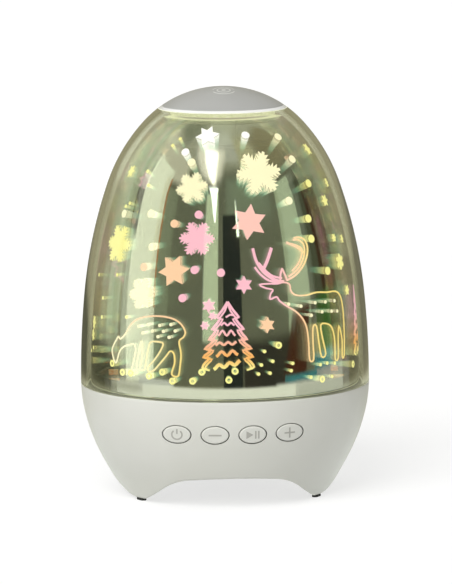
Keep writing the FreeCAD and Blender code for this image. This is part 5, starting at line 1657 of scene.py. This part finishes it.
        yield self.outline(STAG, azimuth, self.stag_foot, self.line_width, warmth, 3, True, sign)
        for beam, width in STAG_BEAMS:
            yield self.outline(beam, azimuth, self.stag_foot, width, warmth, 3, sign=sign)
        yield from self.spots(STAG_SPOTS, azimuth, self.stag_foot, sign)

    def tree(self, azimuth: float) -> Iterator[Mesh]:
        """A fir tree: two jagged sides and wavy garlands.

        Args:
            azimuth: Where its middle lies, in degrees from the front.
        Returns:
            Its lines.
        """
        def warmth(u: float, v: float) -> Colour:
            """Pink at the top, orange in the middle and yellow at the foot."""
            return between(between(YELLOW, ORANGE, v / 5.0), PINK, (v - 6.0) / 11.0)

        for sign in (-1, 1):
            for inset, width in ((0.0, 0.95), (1.0, 0.7)):
                line = [(sign * min(u + inset, 0.0), v - inset * 0.4) for u, v in TREE_SIDE]
                yield self.outline(line, azimuth, self.tree_foot, width, warmth, 2)
        for first, last, height, rise, swing, humps, width in GARLANDS:
            count = round(humps * 6)
            waves = [(first + (last - first) * index / count,
                      height + rise * index / count
                      - swing * math.cos(FULL_TURN * humps * index / count))
                     for index in range(count + 1)]
            yield self.outline(waves, azimuth, self.tree_foot, width, warmth, 1)


# Pieces that keep their CAD shape

NODE_FINISHES: dict[Finish, str] = {
    FOOT_RUBBER: "foot_right foot_rear foot_left speaker_surround",
    COVER_PLASTIC: "bottom_cover deck_plate",
    RING_PLASTIC: "centre_tube",
    ZINC: "cover_screws deck_screws light_screws speaker_screws board_screws speaker_top_plate "
          "speaker_yoke usb_socket card_socket",
    COPPER: "touch_foil voice_coil",
    LEAD: "touch_lead battery_lead button_lead light_lead speaker_lead",
    BOARD: "light_board button_board main_board radio_module",
    RESIN: "lights",
    BLACK_PLASTIC: "plunger_power plunger_minus plunger_play plunger_plus switch_housings "
                   "battery_holder audio_socket amplifier_chip",
    FOAM: "speaker_gasket",
    BLACK_STEEL: "speaker_basket",
    FERRITE: "speaker_magnet",
    PAPER: "speaker_cone dust_cap",
    CLOTH: "speaker_spider",
    SLEEVE: "battery_cell",
    CAN: "capacitors"}


def dress_nodes() -> None:
    """Puts a finish on each CAD node that stays in view."""
    for finish, names in NODE_FINISHES.items():
        for name in names.split():
            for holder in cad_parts[name].material_slots:
                holder.material = finish.material()
            LOG.info("node %s: %s", name, finish.name)


# The studio

@dataclass(frozen=True)
class RoomPanel:
    """Something in the room that the mirrors show.

    Azimuths are in degrees from the camera's direction towards the right, at the panel's foot
    and, where it leans, at its top. Elevations are in degrees from level, and the edge says how
    soft its border is.
    """

    azimuths: Point
    elevations: Point
    colour: Place
    edge: float
    top_azimuths: Point | None = None


# What stands in the room, from the farthest to the nearest
ROOM = tuple(RoomPanel(*row) for row in (
    ((-114, 114), (-9, 50), (0.31, 0.33, 0.235), 14.0),
    ((3, 52), (24, 44), (0.42, 0.50, 0.36), 8.0),
    ((26, 62), (48, 72), (0.95, 0.93, 0.60), 12.0),
    ((62, 112), (38, 66), (0.50, 0.46, 0.28), 10.0),
    ((-118, -48), (35, 54), (1.2, 1.18, 0.94), 6.0),
    ((-128, -78), (57, 76), (0.42, 0.46, 0.33), 8.0),
    ((-50, 26), (56, 80), (1.0, 1.03, 0.88), 8.0),
    ((-150, -112), (8, 42), (0.85, 0.88, 0.66), 8.0, (-150, -100)),
    ((-122, -90), (-5, 30), (0.80, 0.88, 0.66), 4.0),
    ((-92, -62), (-8, 41), (1.85, 1.95, 1.6), 1.6, (-102, -68)),
    ((-105, -94), (12, 25), (0.10, 0.08, 0.04), 2.0, (-110, -99)),
    ((-104, -100), (-6, 12), (0.42, 0.40, 0.26), 2.0),
    ((-62, -50), (-8, 31), (0.46, 0.52, 0.36), 2.0, (-66, -52)),
    ((-64.8, -63.2), (2, 36), (1.0, 0.36, 0.10), 0.8, (-68, -66)),
    ((-18.5, -5.5), (-1, 33), (1.22, 1.42, 1.0), 1.0),
    ((-1, 15), (-9, 27), (0.05, 0.06, 0.055), 1.0),
    ((16, 70), (-9, -1), (0.08, 0.075, 0.06), 2.5),
    ((57, 80), (-1, 33), (0.95, 1.12, 0.80), 2.0, (60, 84)),
    ((82, 98), (-1, 28), (0.15, 0.17, 0.11), 2.0),
    ((97, 118), (-5, 22), (0.08, 0.015, 0.0), 3.0, (94, 112)),
    ((50, 72), (-7, 2), (0.14, 0.045, 0.025), 3.0, (62, 80)),
    ((86, 104), (-6, 2), (0.08, 0.20, 0.03), 1.5),
    ((118, 181), (-8.6, -1), (0.2, 0.19, 0.13), 3.0),
    ((-181, -108), (-8.8, -5.5), (0.12, 0.12, 0.08), 1.6),
    ((-181, -103), (-17, -8.8), (0.72, 0.73, 0.54), 0.8),
    ((115, 181), (-17, -8.6), (0.72, 0.73, 0.56), 0.8),
    ((52, 86), (-7.8, -6.3), (0.10, 0.44, 0.50), 0.6),
    ((82, 104), (-6.6, -4.6), (0.10, 0.44, 0.52), 0.8),
    ((84, 118), (-9, -6.3), (0.75, 0.76, 0.74), 0.6),
    ((-78, -44), (-9, -6.7), (1.3, 1.36, 1.28), 0.5),
    ((44, 90), (-9, -7.2), (1.0, 1.05, 0.98), 0.5),
    ((-104, 116), (-17, -7.5), (1.3, 1.34, 1.22), 0.5),
    ((62, 118), (-17, -7.3), (0.84, 0.87, 0.78), 1.4),
    ((-112, -74), (-8.5, -7.7), (0.62, 0.63, 0.52), 1.6),
    ((-181, 181), (-95, -16), (1.3, 1.36, 1.28), 2.0),
    ((-24, -5), (42, 66), (1.9, 1.86, 1.6), 12.0, (-58, 4)),
    ((-12.5, -10.5), (39, 64), (5.0, 4.9, 4.4), 6.5, (-38, -9)),
    ((-9.3, -8.5), (25, 37.5), (5.0, 5.4, 5.0), 1.2, (-17, -6)),
    ((12.6, 15), (21.5, 30.5), (4.4, 5.0, 4.2), 0.8, (12.5, 12.8))))


@dataclass(frozen=True)
class Studio:
    """The floor, the light, the room that glossy pieces show, and the camera."""

    camera_azimuth: float = -3.4
    camera_elevation_radians: float = 0.135
    camera_distance: float = 2000.0
    camera_roll_radians: float = 0.009
    aim_height: float = 79.1
    aim_right: float = 0.69
    aim_up: float = 0.65
    lens: float = 309.3
    sensor: float = 36.0
    camera_reach_metres: float = 100.0
    floor_half_metres: float = 20.0
    sun_azimuth: float = -28.0
    sun_elevation: float = 42.0
    sun_strength: float = 2.12
    sun_softness: float = 40.0
    sky_level: float = 0.49
    floor_glow: float = 0.44
    wall_colour: Colour = (0.36, 0.34, 0.22, 1.0)
    ceiling_colour: Colour = (0.78, 0.80, 0.62, 1.0)
    ceiling_elevations: Point = (20.0, 60.0)
    behind_colour: Colour = (0.33, 0.32, 0.21, 1.0)

    def away(self, azimuth: float, elevation: float) -> Vector:
        """The way out at an azimuth in degrees and an elevation in radians."""
        azimuth, level = math.radians(azimuth), math.cos(elevation)
        return Vector((math.sin(azimuth) * level, -math.cos(azimuth) * level,
                       math.sin(elevation)))

    def build_camera(self) -> None:
        """Puts the camera where the photograph was taken."""
        away = self.away(self.camera_azimuth, self.camera_elevation_radians)
        azimuth = math.radians(self.camera_azimuth)
        right = Vector((math.cos(azimuth), math.sin(azimuth), 0.0))
        shift = right * self.aim_right + Vector((0, 0, self.aim_up))
        data = bpy.data.cameras.new("camera")
        data.lens = self.lens
        data.sensor_width = self.sensor
        data.clip_end = self.camera_reach_metres
        camera = bpy.data.objects.new("camera", data)
        camera.location = (Vector((0, 0, self.aim_height)) + shift
                           + away * self.camera_distance) * MM
        camera.rotation_euler = away.to_track_quat("Z", "Y").to_euler()
        camera.rotation_euler.rotate_axis("Z", -self.camera_roll_radians)
        bpy.context.scene.collection.objects.link(camera)
        bpy.context.scene.camera = camera

    def build_floor(self) -> None:
        """Lays the pale floor, which is white to the eye and keeps the lamp's shadow."""
        bm = bmesh.new()
        bmesh.ops.create_grid(bm, x_segments=1, y_segments=1, size=self.floor_half_metres)
        floor = object_from("floor", bm, StudioPaper("studio_paper", self.floor_glow))
        # Mirrors under the dome find the floor in the world instead, and the dome sees white
        floor.visible_glossy = floor.visible_transmission = False

    def build_lights(self) -> None:
        """Adds the one soft light from the left, which mirrors don't show."""
        data = bpy.data.lights.new("key_light", "SUN")
        data.energy = self.sun_strength
        data.angle = math.radians(self.sun_softness)
        light = bpy.data.objects.new("key_light", data)
        way = self.away(self.sun_azimuth, math.radians(self.sun_elevation))
        light.rotation_euler = way.to_track_quat("Z", "Y").to_euler()
        light.visible_glossy = light.visible_transmission = False
        bpy.context.scene.collection.objects.link(light)

    def build_world(self) -> None:
        """Builds the world: white behind everything, plain light, and a room for mirrors."""
        world = bpy.data.worlds.new("room")
        bpy.context.scene.world = world
        world.use_nodes = True
        tree = world.node_tree
        tree.nodes.clear()
        way = add_node(tree, "SeparateXYZ", {"Vector": add_node(tree, "TexCoord")}).node.outputs
        ahead = add_node(tree, "Math", {"operation": "MULTIPLY", 0: way["Y"], 1: -1.0})
        azimuth = self.degrees(tree, {"operation": "ARCTAN2", 0: way["X"], 1: ahead})
        azimuth = add_node(tree, "Math", {"operation": "SUBTRACT", 0: azimuth,
                                          1: self.camera_azimuth})
        elevation = self.degrees(tree, {"operation": "ARCSINE", 0: way["Z"]})
        overhead = add_node(tree, "MapRange", {"Value": elevation,
                                              **span(*self.ceiling_elevations)})
        seen = add_node(tree, "Mix", {"data_type": "RGBA", 0: overhead, 6: self.wall_colour,
                                      7: self.ceiling_colour}, 2)
        for panel in ROOM:
            cover = self.panel_cover(tree, panel, azimuth, elevation)
            seen = add_node(tree, "Mix", {"data_type": "RGBA", 0: cover, 6: seen,
                                          7: (*panel.colour, 1.0)}, 2)
        rays = add_node(tree, "LightPath").node.outputs
        mirrored = add_node(tree, "Math", {"operation": "GREATER_THAN",
                                           0: rays["Glossy Depth"], 1: 0.5})
        # What only the dome stands before looks olive, as in the photograph
        passed = add_node(tree, "Math", {"operation": "SUBTRACT", 0: rays["Transmission Depth"],
                                         1: rays["Diffuse Depth"]})
        passed = add_node(tree, "Math", {"operation": "GREATER_THAN", 0: passed, 1: 0.5})
        shown = add_node(tree, "Mix", {"data_type": "RGBA", 0: passed, 6: WHITE,
                                       7: self.behind_colour}, 2)
        shown = add_node(tree, "Mix", {"data_type": "RGBA", 0: mirrored, 6: shown, 7: seen}, 2)
        lit = add_node(tree, "Mix", {"data_type": "RGBA", 0: rays["Is Diffuse Ray"], 6: shown,
                                     7: grey(self.sky_level)}, 2)
        background = add_node(tree, "Background", {"Strength": 1.0, "Color": lit})
        add_node(tree, "OutputWorld", {"Surface": background})

    def degrees(self, tree: Tree, settings: Settings) -> Socket:
        """An angle in degrees that one of the math node's operations gives."""
        angle = add_node(tree, "Math", settings)
        return add_node(tree, "Math", {"operation": "DEGREES", 0: angle})

    def panel_cover(self, tree: Tree, panel: RoomPanel, azimuth: Socket,
                    elevation: Socket) -> Socket:
        """How much of a direction a panel covers.

        Args:
            tree: The node tree to add to.
            panel: The panel.
            azimuth: The direction's azimuth.
            elevation: The direction's elevation.
        Returns:
            A number from 0 to 1.
        """
        low, high = panel.elevations
        foot, top = panel.azimuths, panel.top_azimuths or panel.azimuths
        half, middle = (add_node(tree, "MapRange", {"Value": elevation, **span(
            low, high, (foot[1] + sign * foot[0]) / 2, (top[1] + sign * top[0]) / 2)})
            for sign in (-1, 1))
        sideways = self.inside(tree, azimuth, middle, half, panel.edge)
        upright = self.inside(tree, elevation, (low + high) / 2, (high - low) / 2, panel.edge)
        return add_node(tree, "Math", {"operation": "MULTIPLY", 0: sideways, 1: upright})

    def inside(self, tree: Tree, value: Socket, middle: Socket | float, half: Socket | float,
               edge: float) -> Socket:
        """How far a value lies inside a range with soft ends.

        Args:
            tree: The node tree to add to.
            value: The value.
            middle: The middle of the range.
            half: Half its width.
            edge: The width of a soft end.
        Returns:
            A number from 0 to 1.
        """
        off = add_node(tree, "Math", {"operation": "SUBTRACT", 0: value, 1: middle})
        off = add_node(tree, "Math", {"operation": "ABSOLUTE", 0: off})
        off = add_node(tree, "Math", {"operation": "SUBTRACT", 0: off, 1: half})
        return add_node(tree, "MapRange", {"interpolation_type": "SMOOTHSTEP", "Value": off,
                                           **span(-edge / 2, edge / 2, 1.0, 0.0)})

    def build(self) -> None:
        """Builds the studio."""
        self.build_camera()
        self.build_floor()
        self.build_lights()
        self.build_world()
        scene = bpy.context.scene
        scene.view_settings.view_transform = "Standard"
        scene.cycles.transparent_max_bounces = 48
        scene.cycles.max_bounces = 16
        scene.cycles.transmission_bounces = 14
        scene.cycles.glossy_bounces = 6


def main() -> None:
    """Builds every class in order."""
    hull = BaseHull()
    for part in (Studio(), hull, PushKeys(hull), MirrorShells(), Figures(), Dome(), TopCap()):
        part.build()
    dress_nodes()


if __name__ == "__main__":
    main()
